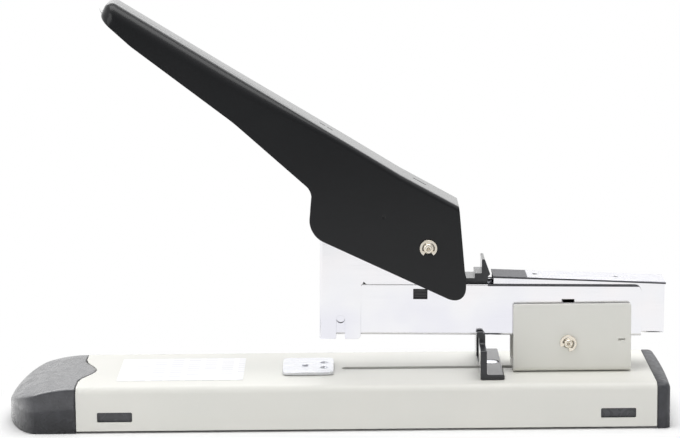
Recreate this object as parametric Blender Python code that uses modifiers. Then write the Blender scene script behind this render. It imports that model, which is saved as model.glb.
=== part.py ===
"""Heavy duty stapler: a painted sheet steel base with a clinch anvil and a paper guide,
and a chromed head with its magazine, staple driver and long black lever.

Metres, +Z up. X runs from the stapling end (-X) to the rear (+X), and the stapler is
symmetric about Y = 0. The origin lies on the table under the middle of the base.
The head is drawn level and then tilted about its pivot pin, as it rests. The lever is
drawn closed, about its own pin, and then opened.
"""

import math

import bmesh
import bpy
import numpy as np
from mathutils import Matrix, Vector

# Base
BASE_LENGTH = 0.2900
BASE_WIDTH = 0.0700
BASE_HEIGHT = 0.0200
BASE_LIFT = 0.0008
BASE_WALL = 0.0012
BASE_BEND = 0.0030
FRONT_CAP_LENGTH = 0.0320
REAR_CAP_LENGTH = 0.0065

# Clearances and cutting
SEAT_GAP = 0.0003
SHAFT_GAP = 0.0001
OVERRUN = 0.0020
WELD = 0.000002
ARC_STEP = math.radians(24)
ROUND_SIDES = 20

# Long slot in the base for the paper guide
SLOT_FRONT = 0.0023
SLOT_UNDER_BRACKET = 0.0174
SLOT_WIDTH = 0.0048

# Clip windows in the sides of the base, measured from the sheet's ends
CLIP_WINDOW_LENGTH = 0.0152
CLIP_WINDOW_BOTTOM = 0.0047
CLIP_WINDOW_TOP = 0.0090
CLIP_WINDOW_ROUND = 0.0006
CLIP_WINDOW_INSET = 0.0091

# Plastic end caps
CAP_WALL = 0.0030
CAP_TOP_WALL = 0.0024
CAP_FLOOR = 0.0025
CAP_CREASE_SHARE = 0.91
NOSE_LENGTH = 0.0140
NOSE_HEIGHT = 0.0075
NOSE_PLAN_POWER = 1.6
NOSE_SIDE_POWER = 1.8
NOSE_END_ANGLE = math.radians(80)
NOSE_STEPS = 6
DOME_LENGTH = 0.0300
DOME_STEPS = 10
DOME_REAR_POWER = 6.0
DOME_NOSE_POWER = 3.0
TONGUE_LENGTH = 0.0059
TONGUE_HALF_WIDTH = 0.0210
TONGUE_THICKNESS = 0.0018
TONGUE_DROP = 0.0001
TONGUE_ROOT = 0.0015
TONGUE_STEPS = 14
CLIP_TAB_THICKNESS = 0.0022
CLIP_TAB_GAP = 0.0004
CLIP_TAB_MARGIN = 0.0013
CLIP_TAB_REACH = 0.0027
CLIP_TAB_ROOT = 0.0035
REAR_BOW = 0.0008
REAR_CORNER = 0.0030
REAR_TOP_ROUND = 0.0022
REAR_CAP_WALL = 0.0025
REAR_BOW_STEPS = 6

# Anvil
ANVIL_FRONT = -0.0239
ANVIL_REAR = -0.00145
ANVIL_WIDTH = 0.0294
ANVIL_THICKNESS = 0.0013
ANVIL_CORNER = 0.0030
POCKET_X = -0.0056
POCKET_Y = 0.0050
POCKET_LENGTH = 0.0033
POCKET_WIDTH = 0.0050
POCKET_DEPTH = 0.0008
ANVIL_RIVET_X = -0.0141
ANVIL_RIVET_RADIUS = 0.0011
ANVIL_HEAD_RADIUS = 0.0017
ANVIL_HEAD_HEIGHT = 0.0003

# Bracket that carries the head
BRACKET_INSET = 0.0157
BRACKET_LENGTH = 0.0517
BRACKET_HALF_WIDTH = 0.0125
BRACKET_WALL = 0.0015
BRACKET_BEND = 0.0025
BRACKET_TOP = 0.0505
BRACKET_CORNER = 0.0012
BRACKET_SLOT_INSET = 0.00405
BRACKET_SLOT_Z = 0.0345
BRACKET_SLOT_LENGTH = 0.0031
BRACKET_SLOT_HEIGHT = 0.0008
BRACKET_RIVET_INSET = 0.0064
BRACKET_RIVET_Y = 0.0070
BRACKET_RIVET_RADIUS = 0.0016
BRACKET_HEAD_RADIUS = 0.0028
RIVET_HEAD_HEIGHT = 0.0010

# Pivot of the head, measured from the bracket's rear, and how far the head tilts up at rest
HEAD_PIVOT_INSET = 0.0276
HEAD_PIVOT_Z = 0.0331
HEAD_TILT = math.radians(0.82)
HEAD_PIN_RADIUS = 0.0022
HEAD_PIN_GROOVE_RADIUS = 0.0016
HEAD_CLIP_RADIUS = 0.00365
HEAD_CLIP_MOUTH = math.radians(-120)
CLIP_THICKNESS = 0.0008
PIN_END = 0.0008
WASHER_RADIUS = 0.0045

# Teeth of a retaining clip: angles from the middle of its mouth, as shares of a half turn
CLIP_MOUTH_SHARE = 0.20
CLIP_SIDE_TOOTH_SHARE = 0.36
CLIP_BACK_TOOTH_SHARE = 0.84
CLIP_HOLLOW_SHARE = 0.72
CLIP_STEPS = 18

# Spring that lifts the head, standing in the bracket
LIFT_SPRING_AHEAD = 0.0117
LIFT_SPRING_RADIUS = 0.0042
LIFT_SPRING_WIRE = 0.0010
LIFT_SPRING_TURNS = 6

# Paper guide
GUIDE_FRONT = 0.0625
GUIDE_LENGTH = 0.0105
GUIDE_HALF_WIDTH = 0.0270
GUIDE_FOOT_THICKNESS = 0.0021
GUIDE_WALL = 0.0028
GUIDE_NOTCH_HALF_WIDTH = 0.0110
GUIDE_SHOULDER_Z = 0.0330
GUIDE_NECK_Z = 0.0334
GUIDE_NECK_HALF_WIDTH = 0.0135
GUIDE_SILL = 0.0002
GUIDE_TOP = 0.0385
GUIDE_LIP_LENGTH = 0.0010
GUIDE_LIP_HEIGHT = 0.0015
GUIDE_LIP_SLOPE = 0.0012
GUIDE_ROUND = 0.0008
GUIDE_RIVET_BACK = 0.0051
GUIDE_BORE_DEPTH = 0.0010
GUIDE_HEAD_RADIUS = 0.0041
GUIDE_SHANK_RADIUS = 0.0018
GUIDE_TAIL_RADIUS = 0.0030
RETAINER_LENGTH = 0.0100
RETAINER_HALF_WIDTH = 0.0120
RETAINER_THICKNESS = 0.0012

# Head frame, drawn level
FRAME_FRONT = -0.0044
FRAME_BEHIND_PIVOT = 0.0323
FRAME_BOTTOM = 0.0357
FRAME_TOP = 0.0584
FRAME_HALF_WIDTH = 0.0092
FRAME_WALL = 0.0010
FRAME_BEND = 0.0014
FRAME_REAR_CORNER = 0.0030
EAR_HALF_LENGTH = 0.0070
EAR_DROP = 0.0045
EAR_ROUND = 0.0040
LUG_FRONT = 0.0336
LUG_REAR = 0.0398
LUG_BOTTOM = 0.0519
LUG_TOP = 0.0563
SIGHT_AHEAD = 0.0029
SIGHT_LENGTH = 0.0055
SIGHT_BOTTOM = 0.0504
SIGHT_TOP = 0.0520

# Driver housing at the front of the head
TOWER_HALF_WIDTH = 0.0106
TOWER_WALL = 0.0011
TOWER_FRONT_WALL = 0.0012
TOWER_FRONT = -0.00745
TOWER_BEND = 0.0016
TOWER_FOOT_Z = 0.03405
TOWER_LEG_REAR = 0.0107
TOWER_BODY_Z = 0.0586
TOWER_TOP = 0.0810
KEYHOLE_FRONT = -0.0001
KEYHOLE_WIDTH = 0.0037
KEYHOLE_TOP = 0.0445
FOOT_ROUND = 0.0006
LEG_ROUND = 0.0017
RELIEF = 0.0011
TOWER_EAR_RADIUS = 0.0085
TOWER_EAR_BLEND = 0.0110
TOWER_EAR_FRONT = 0.0070
TOWER_EDGE_ROUND = 0.0020

# Lever and its pin, drawn closed about the pin
LEVER_PIVOT_X = 0.0399
LEVER_PIVOT_Z = 0.0753
LEVER_OPEN = math.radians(24.6)
LEVER_PIN_RADIUS = 0.0025
LEVER_PIN_GROOVE_RADIUS = 0.0019
LEVER_CLIP_RADIUS = 0.0038
LEVER_CLIP_MOUTH = math.radians(-90)
LEVER_REACH = 0.1714
LEVER_RISE = 0.0403
LEVER_HALF_WIDTH = 0.0135
LEVER_WALL = 0.0015
LEVER_TIP_ROUND = 0.0080
LEVER_EDGE_ROUND = 0.0025
LEVER_GRIP_ROUND = 0.0070
LEVER_BLEND_STEPS = 4
LEVER_TIP_STEPS = 4
LEVER_EDGE_STEPS = 4
LEVER_LEAST_EDGE_SHARE = 0.25
LEVER_MOST_EDGE_SHARE = 0.9
TAB_WIDTH = 0.0014
TAB_LENGTH = 0.0064
TAB_BRIDGE = 0.0012

# Corners of the lever's outline: forward as a share of its reach, up as a share of its
# rise, and the corner's radius as a share of its rise. The top edge is left to the envelope.
LEVER_CORNER_SHARES = (
    (-1.000, 0.772, 0.062),
    (-0.899, 0.640, 0.744),
    (-0.583, 0.352, 1.489),
    (-0.330, 0.032, 0.149),
    (-0.292, -0.420, 0.248),
    (0.158, -0.420, 0.147),
    (0.0265, 0.548, 0.0),
)
LEVER_TIP_CORNER_SHARE = 0.099

# Top edge of the lever from tip to rear: forward as a share of its reach, up as a share of its rise
LEVER_TOP_SHARES = ((-1.000, 1.000), (-0.144, 0.5955), (0.0265, 0.548))

# Where the edge rounding stops growing and where it starts, as shares of the reach
LEVER_GRIP_SHARE = -0.70
LEVER_BODY_SHARE = -0.26

# Middles of the two slots in the lever's top, as shares of the reach
LEVER_SLOT_SHARES = (-0.363, -0.086)

# Stiffening channel inside the lever, with corners as shares of the lever's reach and rise
CORE_WALL = 0.0008
CORE_CORNER_SHARES = (
    (-0.400, 0.235, 0.05),
    (-0.318, 0.190, 0.10),
    (-0.272, -0.300, 0.10),
    (0.082, -0.310, 0.10),
    (0.060, 0.100, 0.08),
)
CORE_REAR_SHARE = 0.010

# Drive pin in the lever
DRIVE_RADIUS = 0.0440
DRIVE_RISE = 0.0092
DRIVE_PIN_RADIUS = 0.0030

# Driver that the drive pin pushes down
PLUNGER_FRONT = -0.00475
PLUNGER_REAR = 0.0060
PLUNGER_ARM_REAR = 0.0109
PLUNGER_BOTTOM = 0.0720
PLUNGER_SHOULDER = 0.0763
PLUNGER_STEP = 0.0880
PLUNGER_ARM = 0.0024
PLUNGER_SLACK = 0.00075
PLUNGER_HALF_WIDTH = 0.0092
PLUNGER_STEM_HALF_WIDTH = 0.0068
BLADE_THICKNESS = 0.0009
BLADE_HALF_WIDTH = 0.0064
BLADE_TIP = 0.0512
BLADE_TOP = 0.0930
BLADE_RIVET_LOW = 0.0788
BLADE_RIVET_HIGH = 0.0848
BLADE_RIVET_RADIUS = 0.0013
BLADE_HEAD_RADIUS = 0.0022
BLADE_HEAD_HEIGHT = 0.0008

# Magazine, drawn level
CHANNEL_WALL = 0.0008
CHANNEL_BEHIND_FRAME = 0.0100
CHANNEL_FRONT_TOP = 0.0581
RAIL_HALF_WIDTH = 0.0056
RAIL_WALL = 0.0008
RAIL_TOP = 0.0493
RAIL_INSET = 0.0440
COVER_FRONT = 0.0685
COVER_OVERHANG = 0.0004
COVER_HALF_WIDTH = 0.0088
COVER_WALL = 0.0006
COVER_THICKNESS = 0.0006
COVER_FRONT_TOP = 0.0621
COVER_REAR_TOP = 0.0600
COVER_FRONT_SKIRT = 0.0615
COVER_REAR_SKIRT = 0.0589
COVER_HOLE_RADIUS = 0.0012
COVER_HOLE_SHARES = (0.25, 0.72)
END_PLATE_INSET = 0.0030
END_PLATE_THICKNESS = 0.0015
END_PLATE_TOP = 0.0590
ROD_RADIUS = 0.0010
ROD_Z = 0.0545
ROD_FRONT = 0.0100
ROD_HEAD_RADIUS = 0.0018
ROD_HEAD_HEIGHT = 0.0008

# Follower and its spring
FOLLOWER_FRONT = -0.0038
FOLLOWER_STEP = 0.0080
FOLLOWER_REAR = 0.0160
FOLLOWER_HALF_WIDTH = 0.0068
FOLLOWER_SKIRT = 0.0410
FOLLOWER_DECK = 0.0514
FOLLOWER_POST_HALF_WIDTH = 0.0052
FOLLOWER_POST_TOP = 0.0572
FOLLOWER_POST_ROOT = 0.0009
FEED_SPRING_RADIUS = 0.0022
FEED_SPRING_WIRE = 0.0008
FEED_SPRING_TURNS = 22

# Catch on top of the magazine
LATCH_FRONT = 0.0330
LATCH_REAR = 0.0663
LATCH_BOTTOM = 0.0576
LATCH_BAR_TOP = 0.0592
LATCH_HALF_WIDTH = 0.0068
LATCH_TOP_HALF_WIDTH = 0.0077
LATCH_WAIST = 0.0596
LATCH_STEP_FRONT = 0.0565
LATCH_STEP_TOP = 0.0610
LATCH_STEP_REAR = 0.0606
LATCH_SHELF_TOP = 0.0632
LATCH_FIN_FRONT = 0.0636
LATCH_FIN_BACK = 0.0649
LATCH_FIN_TOP = 0.0694
LATCH_HEEL_X = 0.0674
LATCH_HEEL_Z = 0.0627
LATCH_HEEL_DROP = 0.0010
LATCH_ROUND = 0.0005
LATCH_CHEEK_HALF_WIDTH = 0.0055
LATCH_LUG_HALF_WIDTH = 0.0079
LATCH_TRAVEL = 0.0040

# Torsion spring that opens the lever
OPEN_SPRING_RADIUS = 0.0044
OPEN_SPRING_WIRE = 0.0012
OPEN_SPRING_PITCH = 0.0020
OPEN_SPRING_TURNS = 5
OPEN_SPRING_UP_X_SHARE = -0.0875
OPEN_SPRING_FOOT_X = 0.0470

# Points on each turn of a spring
TURN_POINTS = 8

# Places worked out from the sizes above
HALF_WIDTH = BASE_WIDTH / 2
BASE_FRONT = -BASE_LENGTH / 2
BASE_REAR = BASE_LENGTH / 2
SHEET_FRONT = BASE_FRONT + FRONT_CAP_LENGTH
SHEET_REAR = BASE_REAR - REAR_CAP_LENGTH
SHEET_UNDERSIDE = BASE_HEIGHT - BASE_WALL
BRACKET_REAR = BASE_REAR - BRACKET_INSET
BRACKET_FRONT = BRACKET_REAR - BRACKET_LENGTH
BRACKET_SLOT_X = BRACKET_REAR - BRACKET_SLOT_INSET
SLOT_REAR = BRACKET_FRONT + SLOT_UNDER_BRACKET
HEAD_PIVOT_X = BRACKET_REAR - HEAD_PIVOT_INSET
LIFT_SPRING_X = HEAD_PIVOT_X - LIFT_SPRING_AHEAD
FRAME_REAR = HEAD_PIVOT_X + FRAME_BEHIND_PIVOT
SIGHT_FRONT = HEAD_PIVOT_X - SIGHT_AHEAD
SIGHT_REAR = SIGHT_FRONT + SIGHT_LENGTH
CHANNEL_REAR = FRAME_REAR + CHANNEL_BEHIND_FRAME
RAIL_REAR = CHANNEL_REAR - RAIL_INSET
COVER_REAR = CHANNEL_REAR + COVER_OVERHANG
END_PLATE_FRONT = CHANNEL_REAR - END_PLATE_INSET
DECK_Z = BASE_HEIGHT + SEAT_GAP
ANVIL_TOP = DECK_Z + ANVIL_THICKNESS
WEB_TOP = DECK_Z + BRACKET_WALL
GUIDE_RIVET_X = GUIDE_FRONT + GUIDE_RIVET_BACK
GUIDE_FOOT_TOP = DECK_Z + GUIDE_FOOT_THICKNESS
GUIDE_BORE_Z = GUIDE_FOOT_TOP - GUIDE_BORE_DEPTH
HEAD_PIVOT = Vector((HEAD_PIVOT_X, 0, HEAD_PIVOT_Z))
LEVER_PIVOT = Vector((LEVER_PIVOT_X, 0, LEVER_PIVOT_Z))
FRAME_INSIDE = FRAME_HALF_WIDTH - FRAME_WALL
TOWER_INSIDE = TOWER_HALF_WIDTH - TOWER_WALL
CHANNEL_HALF_WIDTH = FRAME_INSIDE - SEAT_GAP
CHANNEL_INSIDE = CHANNEL_HALF_WIDTH - CHANNEL_WALL
CHANNEL_BOTTOM = FRAME_BOTTOM + FRAME_WALL + SEAT_GAP
CHANNEL_FLOOR = CHANNEL_BOTTOM + CHANNEL_WALL
DRIVE_CLOSED_ANGLE = math.asin(DRIVE_RISE / DRIVE_RADIUS)
DRIVE_CLOSED_X = -DRIVE_RADIUS * math.cos(DRIVE_CLOSED_ANGLE)
DRIVE_OPEN_ANGLE = DRIVE_CLOSED_ANGLE + LEVER_OPEN
DRIVE_OPEN_X = LEVER_PIVOT_X - DRIVE_RADIUS * math.cos(DRIVE_OPEN_ANGLE)
DRIVE_OPEN_Z = LEVER_PIVOT_Z + DRIVE_RADIUS * math.sin(DRIVE_OPEN_ANGLE)
DRIVER_TRAVEL = DRIVE_OPEN_Z - LEVER_PIVOT_Z - DRIVE_RISE


def clear_scene():
    for obj in list(bpy.data.objects):
        bpy.data.objects.remove(obj)


def new_collection(name):
    collection = bpy.data.collections.new(name)
    bpy.context.scene.collection.children.link(collection)
    return collection


def new_material(name, colour, roughness, metallic):
    material = bpy.data.materials.new(name)
    material.use_nodes = True
    shader = material.node_tree.nodes["Principled BSDF"]
    shader.inputs["Base Color"].default_value = (*colour, 1)
    shader.inputs["Roughness"].default_value = roughness
    shader.inputs["Metallic"].default_value = metallic
    material.diffuse_color = (*colour, 1)
    return material


clear_scene()
STAPLER = new_collection("heavy_duty_stapler")
CUTTERS = new_collection("cutters")
BASE_PAINT = new_material("base_paint", (0.74, 0.74, 0.70), 0.45, 0.0)
LEVER_PAINT = new_material("lever_paint", (0.020, 0.021, 0.023), 0.42, 0.0)
CAP_PLASTIC = new_material("cap_plastic", (0.060, 0.065, 0.072), 0.60, 0.0)
DARK_PLASTIC = new_material("dark_plastic", (0.030, 0.032, 0.035), 0.50, 0.0)
CHROME = new_material("chrome", (0.80, 0.80, 0.82), 0.12, 1.0)
ZINC = new_material("zinc_steel", (0.62, 0.61, 0.58), 0.30, 1.0)
SPRING_STEEL = new_material("spring_steel", (0.30, 0.30, 0.31), 0.35, 1.0)

# Turns that lay a drawing, made in its own X and Y, into a plane of the stapler
ACROSS = Matrix.Rotation(math.pi / 2, 4, "X")
ALONG = Matrix(((0, 0, 1, 0), (1, 0, 0, 0), (0, 1, 0, 0), (0, 0, 0, 1)))
FLAT = Matrix.Identity(4)

# Turns that lay an upright turned piece along Y or X
TO_Y = (-math.pi / 2, 0, 0)
TO_X = (0, math.pi / 2, 0)


def rounded(corners):
    """Outline through corners (x, y, radius), each with its arc. Radii keep within the sides."""
    outline = []
    count = len(corners)
    for index, (x, y, radius) in enumerate(corners):
        here = Vector((x, y))
        before = Vector(corners[index - 1][:2]) - here
        after = Vector(corners[(index + 1) % count][:2]) - here
        between = before.angle(after)
        setback = radius / math.tan(between / 2)
        setback = min(setback, before.length / 2, after.length / 2)
        if setback < WELD:
            outline.append(here)
            continue
        radius = setback * math.tan(between / 2)
        bisector = (before.normalized() + after.normalized()).normalized()
        centre = here + bisector * (radius / math.sin(between / 2))
        start = here + before.normalized() * setback - centre
        turn = math.pi - between
        steps = max(1, round(turn / ARC_STEP))
        sense = 1 if before.cross(after) < 0 else -1
        for step in range(steps + 1):
            angle = sense * turn * step / steps
            outline.append(centre + Matrix.Rotation(angle, 2) @ start)
    return outline


def circle(x, y, radius):
    steps = ROUND_SIDES
    angles = [math.tau * step / steps for step in range(steps)]
    return [Vector((x + radius * math.cos(a), y + radius * math.sin(a))) for a in angles]


def rectangle(x_low, x_high, y_low, y_high, radius=0.0):
    return rounded(
        [
            (x_low, y_low, radius),
            (x_high, y_low, radius),
            (x_high, y_high, radius),
            (x_low, y_high, radius),
        ]
    )


def finish(obj, material, smooth=math.radians(40)):
    obj.data.materials.clear()
    obj.data.materials.append(material)
    obj.data.shade_smooth()
    obj.data.set_sharp_from_angle(angle=smooth)
    return obj


def object_from(name, mesh, material):
    obj = bpy.data.objects.new(name, mesh)
    STAPLER.objects.link(obj)
    return finish(obj, material)


def mesh_of(obj, turn=FLAT):
    """The object's mesh as its modifiers or bevel leave it, welded, turned and facing out."""
    graph = bpy.context.evaluated_depsgraph_get()
    mesh = bpy.data.meshes.new_from_object(obj.evaluated_get(graph))
    tidy = bmesh.new()
    tidy.from_mesh(mesh)
    bmesh.ops.remove_doubles(tidy, verts=tidy.verts, dist=WELD)
    bmesh.ops.dissolve_degenerate(tidy, edges=tidy.edges, dist=WELD)
    tidy.transform(turn)
    bmesh.ops.recalc_face_normals(tidy, faces=tidy.faces)
    tidy.to_mesh(mesh)
    tidy.free()
    return mesh


def plate(name, outlines, low, high, lay, material):
    """A plate between two levels. The first outline is its edge, and the others are holes."""
    curve = bpy.data.curves.new(name, "CURVE")
    curve.dimensions = "2D"
    curve.fill_mode = "BOTH"
    curve.extrude = (high - low) / 2
    for outline in outlines:
        spline = curve.splines.new("POLY")
        spline.points.add(len(outline) - 1)
        for point, (x, y) in zip(spline.points, outline):
            point.co = (x, y, 0, 1)
        spline.use_cyclic_u = True
    drawing = bpy.data.objects.new(name + "_drawing", curve)
    CUTTERS.objects.link(drawing)
    middle = Matrix.Translation((0, 0, (low + high) / 2))
    mesh = mesh_of(drawing, lay @ middle)
    bpy.data.objects.remove(drawing)
    bpy.data.curves.remove(curve)
    mesh.name = name
    return object_from(name, mesh, material)


def side_plate(name, outlines, half_width, material):
    return plate(name, outlines, -half_width, half_width, ACROSS, material)


def flat_plate(name, outlines, low, high, material):
    return plate(name, outlines, low, high, FLAT, material)


def extrusion(name, outlines, front, rear, material):
    return plate(name, outlines, front, rear, ALONG, material)


def box(name, x_low, x_high, y_low, y_high, z_low, z_high, material):
    mesh = bpy.data.meshes.new(name)
    solid = bmesh.new()
    size = Vector((x_high - x_low, y_high - y_low, z_high - z_low))
    middle = Vector((x_high + x_low, y_high + y_low, z_high + z_low)) / 2
    place = Matrix.Translation(middle) @ Matrix.Diagonal((*size, 1))
    bmesh.ops.create_cube(solid, size=1, matrix=place)
    solid.to_mesh(mesh)
    solid.free()
    return object_from(name, mesh, material)


def rod(name, radius, centre, length, lay, material):
    """A plain cylinder with its middle at centre."""
    mesh = bpy.data.meshes.new(name)
    solid = bmesh.new()
    place = Matrix.Translation(centre) @ lay
    bmesh.ops.create_cone(
        solid,
        cap_ends=True,
        segments=ROUND_SIDES,
        radius1=radius,
        radius2=radius,
        depth=length,
        matrix=place,
    )
    solid.to_mesh(mesh)
    solid.free()
    return object_from(name, mesh, material)


def combine(target, operation, tools):
    """Cuts, joins or intersects the target with each tool while both stand undisturbed."""
    for tool in tools:
        STAPLER.objects.unlink(tool)
        CUTTERS.objects.link(tool)
        tool.hide_render = True
        tool.display_type = "WIRE"
        modifier = target.modifiers.new(tool.name, "BOOLEAN")
        modifier.operation = operation
        modifier.object = tool
    mesh = mesh_of(target)
    material = target.data.materials[0]
    target.modifiers.clear()
    target.data = mesh
    for tool in tools:
        bpy.data.objects.remove(tool)
    return finish(target, material)


def cut(target, *tools):
    return combine(target, "DIFFERENCE", tools)


def join(target, *tools):
    return combine(target, "UNION", tools)


def overlap_of(target, *tools):
    return combine(target, "INTERSECT", tools)


def turned(name, profile, material):
    """A solid of revolution about Z. The profile runs down from its top, as (radius, height)."""
    mesh = bpy.data.meshes.new(name)
    points = [(0, 0, profile[0][1])]
    points += [(radius, 0, height) for radius, height in profile]
    points += [(0, 0, profile[-1][1])]
    mesh.from_pydata(points, [(i, i + 1) for i in range(len(points) - 1)], [])
    obj = bpy.data.objects.new(name, mesh)
    STAPLER.objects.link(obj)
    screw = obj.modifiers.new("turn", "SCREW")
    screw.axis = "Z"
    screw.steps = ROUND_SIDES
    screw.render_steps = ROUND_SIDES
    screw.use_merge_vertices = True
    screw.merge_threshold = WELD
    solid = mesh_of(obj)
    obj.modifiers.clear()
    obj.data = solid
    return finish(obj, material)


def joint_empty(name, stands_at, parent=None, turn=0.0):
    """An empty on a joint's axis. stands_at is in the level head's own drawing."""
    empty = bpy.data.objects.new(name, None)
    STAPLER.objects.link(empty)
    empty["stands_at"] = tuple(stands_at)
    empty.location = stands_at
    if parent:
        empty.parent = parent
        empty.location = stands_at - Vector(parent["stands_at"])
    empty.rotation_euler = (0, turn, 0)
    return empty


def carry(empty, *pieces):
    """Hangs pieces, drawn in the level head's places, on a joint's empty."""
    for piece in pieces:
        piece.parent = empty
        piece.location -= Vector(empty["stands_at"])


def rivet(name, radius, head_radius, tail_radius, levels, material):
    """An upright rivet. levels: top and underside of the head, top and underside of the tail."""
    head_top, head_seat, tail_seat, tail_end = levels
    profile = [
        (head_radius, head_top),
        (head_radius, head_seat),
        (radius, head_seat),
        (radius, tail_seat),
        (tail_radius, tail_seat),
        (tail_radius, tail_end),
    ]
    return turned(name, profile, material)


def grooved_pin(name, radius, groove_radius, stack_half_width, material):
    """A cross pin with a clip groove just outside the walls that it passes through."""
    groove_start = stack_half_width + SEAT_GAP - SHAFT_GAP
    groove_end = stack_half_width + SEAT_GAP + CLIP_THICKNESS + SHAFT_GAP
    end = groove_end + PIN_END
    half = [
        (radius, end),
        (radius, groove_end),
        (groove_radius, groove_end),
        (groove_radius, groove_start),
        (radius, groove_start),
    ]
    profile = half + [(r, -y) for r, y in reversed(half)]
    pin = turned(name, profile, material)
    pin.rotation_euler = TO_Y
    return pin


def retaining_clip(name, radius, groove_radius, mouth, centre, y_side, stack_half_width):
    """A sprung clip in a pin's groove, with three teeth and an open mouth."""
    outer = []
    inner = []
    span = 1 - CLIP_MOUTH_SHARE
    for step in range(CLIP_STEPS + 1):
        share = CLIP_MOUTH_SHARE + 2 * span * step / CLIP_STEPS
        fold = min(share, 2 - share)
        on_tooth = fold <= CLIP_SIDE_TOOTH_SHARE or fold >= CLIP_BACK_TOOTH_SHARE
        inside = groove_radius + SHAFT_GAP if on_tooth else radius * CLIP_HOLLOW_SHARE
        angle = mouth + math.pi * share
        ray = Vector((math.cos(angle), math.sin(angle)))
        outer.append(centre + ray * radius)
        inner.append(centre + ray * inside)
    near = stack_half_width + SEAT_GAP
    far = near + CLIP_THICKNESS
    low, high = (near, far) if y_side < 0 else (-far, -near)
    return plate(name, [outer + inner[::-1]], low, high, ACROSS, ZINC)


def wire_piece(name, points, wire, material):
    """A round wire along the points."""
    curve = bpy.data.curves.new(name, "CURVE")
    curve.dimensions = "3D"
    curve.bevel_depth = wire / 2
    curve.bevel_resolution = 1
    curve.use_fill_caps = True
    spline = curve.splines.new("POLY")
    spline.points.add(len(points) - 1)
    for point, place in zip(spline.points, points):
        point.co = (*place, 1)
    drawing = bpy.data.objects.new(name + "_wire", curve)
    CUTTERS.objects.link(drawing)
    mesh = mesh_of(drawing)
    bpy.data.objects.remove(drawing)
    bpy.data.curves.remove(curve)
    mesh.name = name
    return object_from(name, mesh, material)


def helix(radius, turns, length):
    """Points of a coil that climbs from zero to length along its own Z."""
    count = round(turns * TURN_POINTS)
    points = []
    for step in range(count + 1):
        angle = math.tau * turns * step / count
        height = length * step / count
        points.append(Vector((radius * math.cos(angle), radius * math.sin(angle), height)))
    return points


def print_least_gap(name, points, wire):
    """The least gap of a coil to itself, on points at least half a turn apart."""
    half_turn = TURN_POINTS // 2
    least = min(
        (points[i] - points[j]).length - wire
        for i in range(len(points))
        for j in range(i + half_turn, len(points))
    )
    print(f"{name}: least gap to itself {least * 1000:.2f} mm")


def loft(name, rings, material):
    """A closed skin through rings of points, one ring for each station."""
    mesh = bpy.data.meshes.new(name)
    skin = bmesh.new()
    rows = [[skin.verts.new(point) for point in ring] for ring in rings]
    count = len(rows[0])
    for row, following in zip(rows, rows[1:]):
        for index in range(count):
            after = (index + 1) % count
            skin.faces.new((row[index], row[after], following[after], following[index]))
    skin.faces.new(rows[0])
    skin.faces.new(rows[-1])
    bmesh.ops.recalc_face_normals(skin, faces=skin.faces)
    skin.to_mesh(mesh)
    skin.free()
    return object_from(name, mesh, material)


def channel_outline(half_width, wall, floor, top, bend):
    """Section of an upright sheet U, from its web at floor to its open top."""
    inner = half_width - wall
    inner_bend = max(bend - wall, 0)
    return rounded(
        [
            (-half_width, top, 0),
            (-half_width, floor, bend),
            (half_width, floor, bend),
            (half_width, top, 0),
            (inner, top, 0),
            (inner, floor + wall, inner_bend),
            (-inner, floor + wall, inner_bend),
            (-inner, top, 0),
        ]
    )


def arch_outline(half_width, wall, foot, top, bend):
    """Section of a sheet arch, from its web at the top to its open foot."""
    upside_down = channel_outline(half_width, wall, -top, -foot, bend)
    return [Vector((y, -z)) for y, z in upside_down]


def tongue_outline(grow):
    """Plan of the front cap's tongue over the sheet, grown by a clearance."""
    root = SHEET_FRONT - TONGUE_ROOT
    half = TONGUE_HALF_WIDTH + grow
    outline = [Vector((root, -half))]
    for step in range(TONGUE_STEPS + 1):
        share = 2 * step / TONGUE_STEPS - 1
        reach = TONGUE_LENGTH * (1 + math.cos(math.pi * share)) / 2
        outline.append(Vector((SHEET_FRONT + reach + grow, half * share)))
    outline.append(Vector((root, half)))
    return outline


def clip_window(sheet_end, inward):
    start = sheet_end + inward * CLIP_WINDOW_INSET
    end = start + inward * CLIP_WINDOW_LENGTH
    return rectangle(
        min(start, end),
        max(start, end),
        CLIP_WINDOW_BOTTOM,
        CLIP_WINDOW_TOP,
        CLIP_WINDOW_ROUND,
    )


def bracket_rivet_places():
    return [
        (x, y)
        for x in (BRACKET_FRONT + BRACKET_RIVET_INSET, BRACKET_REAR - BRACKET_RIVET_INSET)
        for y in (-BRACKET_RIVET_Y, BRACKET_RIVET_Y)
    ]


def hole_through(name, x, y, radius, low, high):
    centre = Vector((x, y, (low + high) / 2))
    return rod(name, radius, centre, high - low + OVERRUN, FLAT, ZINC)


def make_base_shell():
    section = arch_outline(HALF_WIDTH, BASE_WALL, BASE_LIFT, BASE_HEIGHT, BASE_BEND)
    shell = extrusion("base_shell", [section], SHEET_FRONT, SHEET_REAR, BASE_PAINT)
    low = SHEET_UNDERSIDE - OVERRUN
    high = BASE_HEIGHT + OVERRUN
    half_slot = SLOT_WIDTH / 2
    slot = rectangle(SLOT_FRONT, SLOT_REAR, -half_slot, half_slot, half_slot)
    tools = [
        flat_plate("slot_cutter", [slot], low, high, BASE_PAINT),
        flat_plate("tongue_cutter", [tongue_outline(SEAT_GAP)], low, high, BASE_PAINT),
    ]
    for sheet_end, inward in ((SHEET_FRONT, 1), (SHEET_REAR, -1)):
        window = clip_window(sheet_end, inward)
        reach = HALF_WIDTH + OVERRUN
        tools.append(side_plate("window_cutter", [window], reach, BASE_PAINT))
    for x, y in bracket_rivet_places():
        radius = BRACKET_RIVET_RADIUS + SHAFT_GAP
        tools.append(hole_through("rivet_cutter", x, y, radius, low, high))
    radius = ANVIL_RIVET_RADIUS + SHAFT_GAP
    tools.append(hole_through("anvil_cutter", ANVIL_RIVET_X, 0, radius, low, high))
    return cut(shell, *tools)


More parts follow.
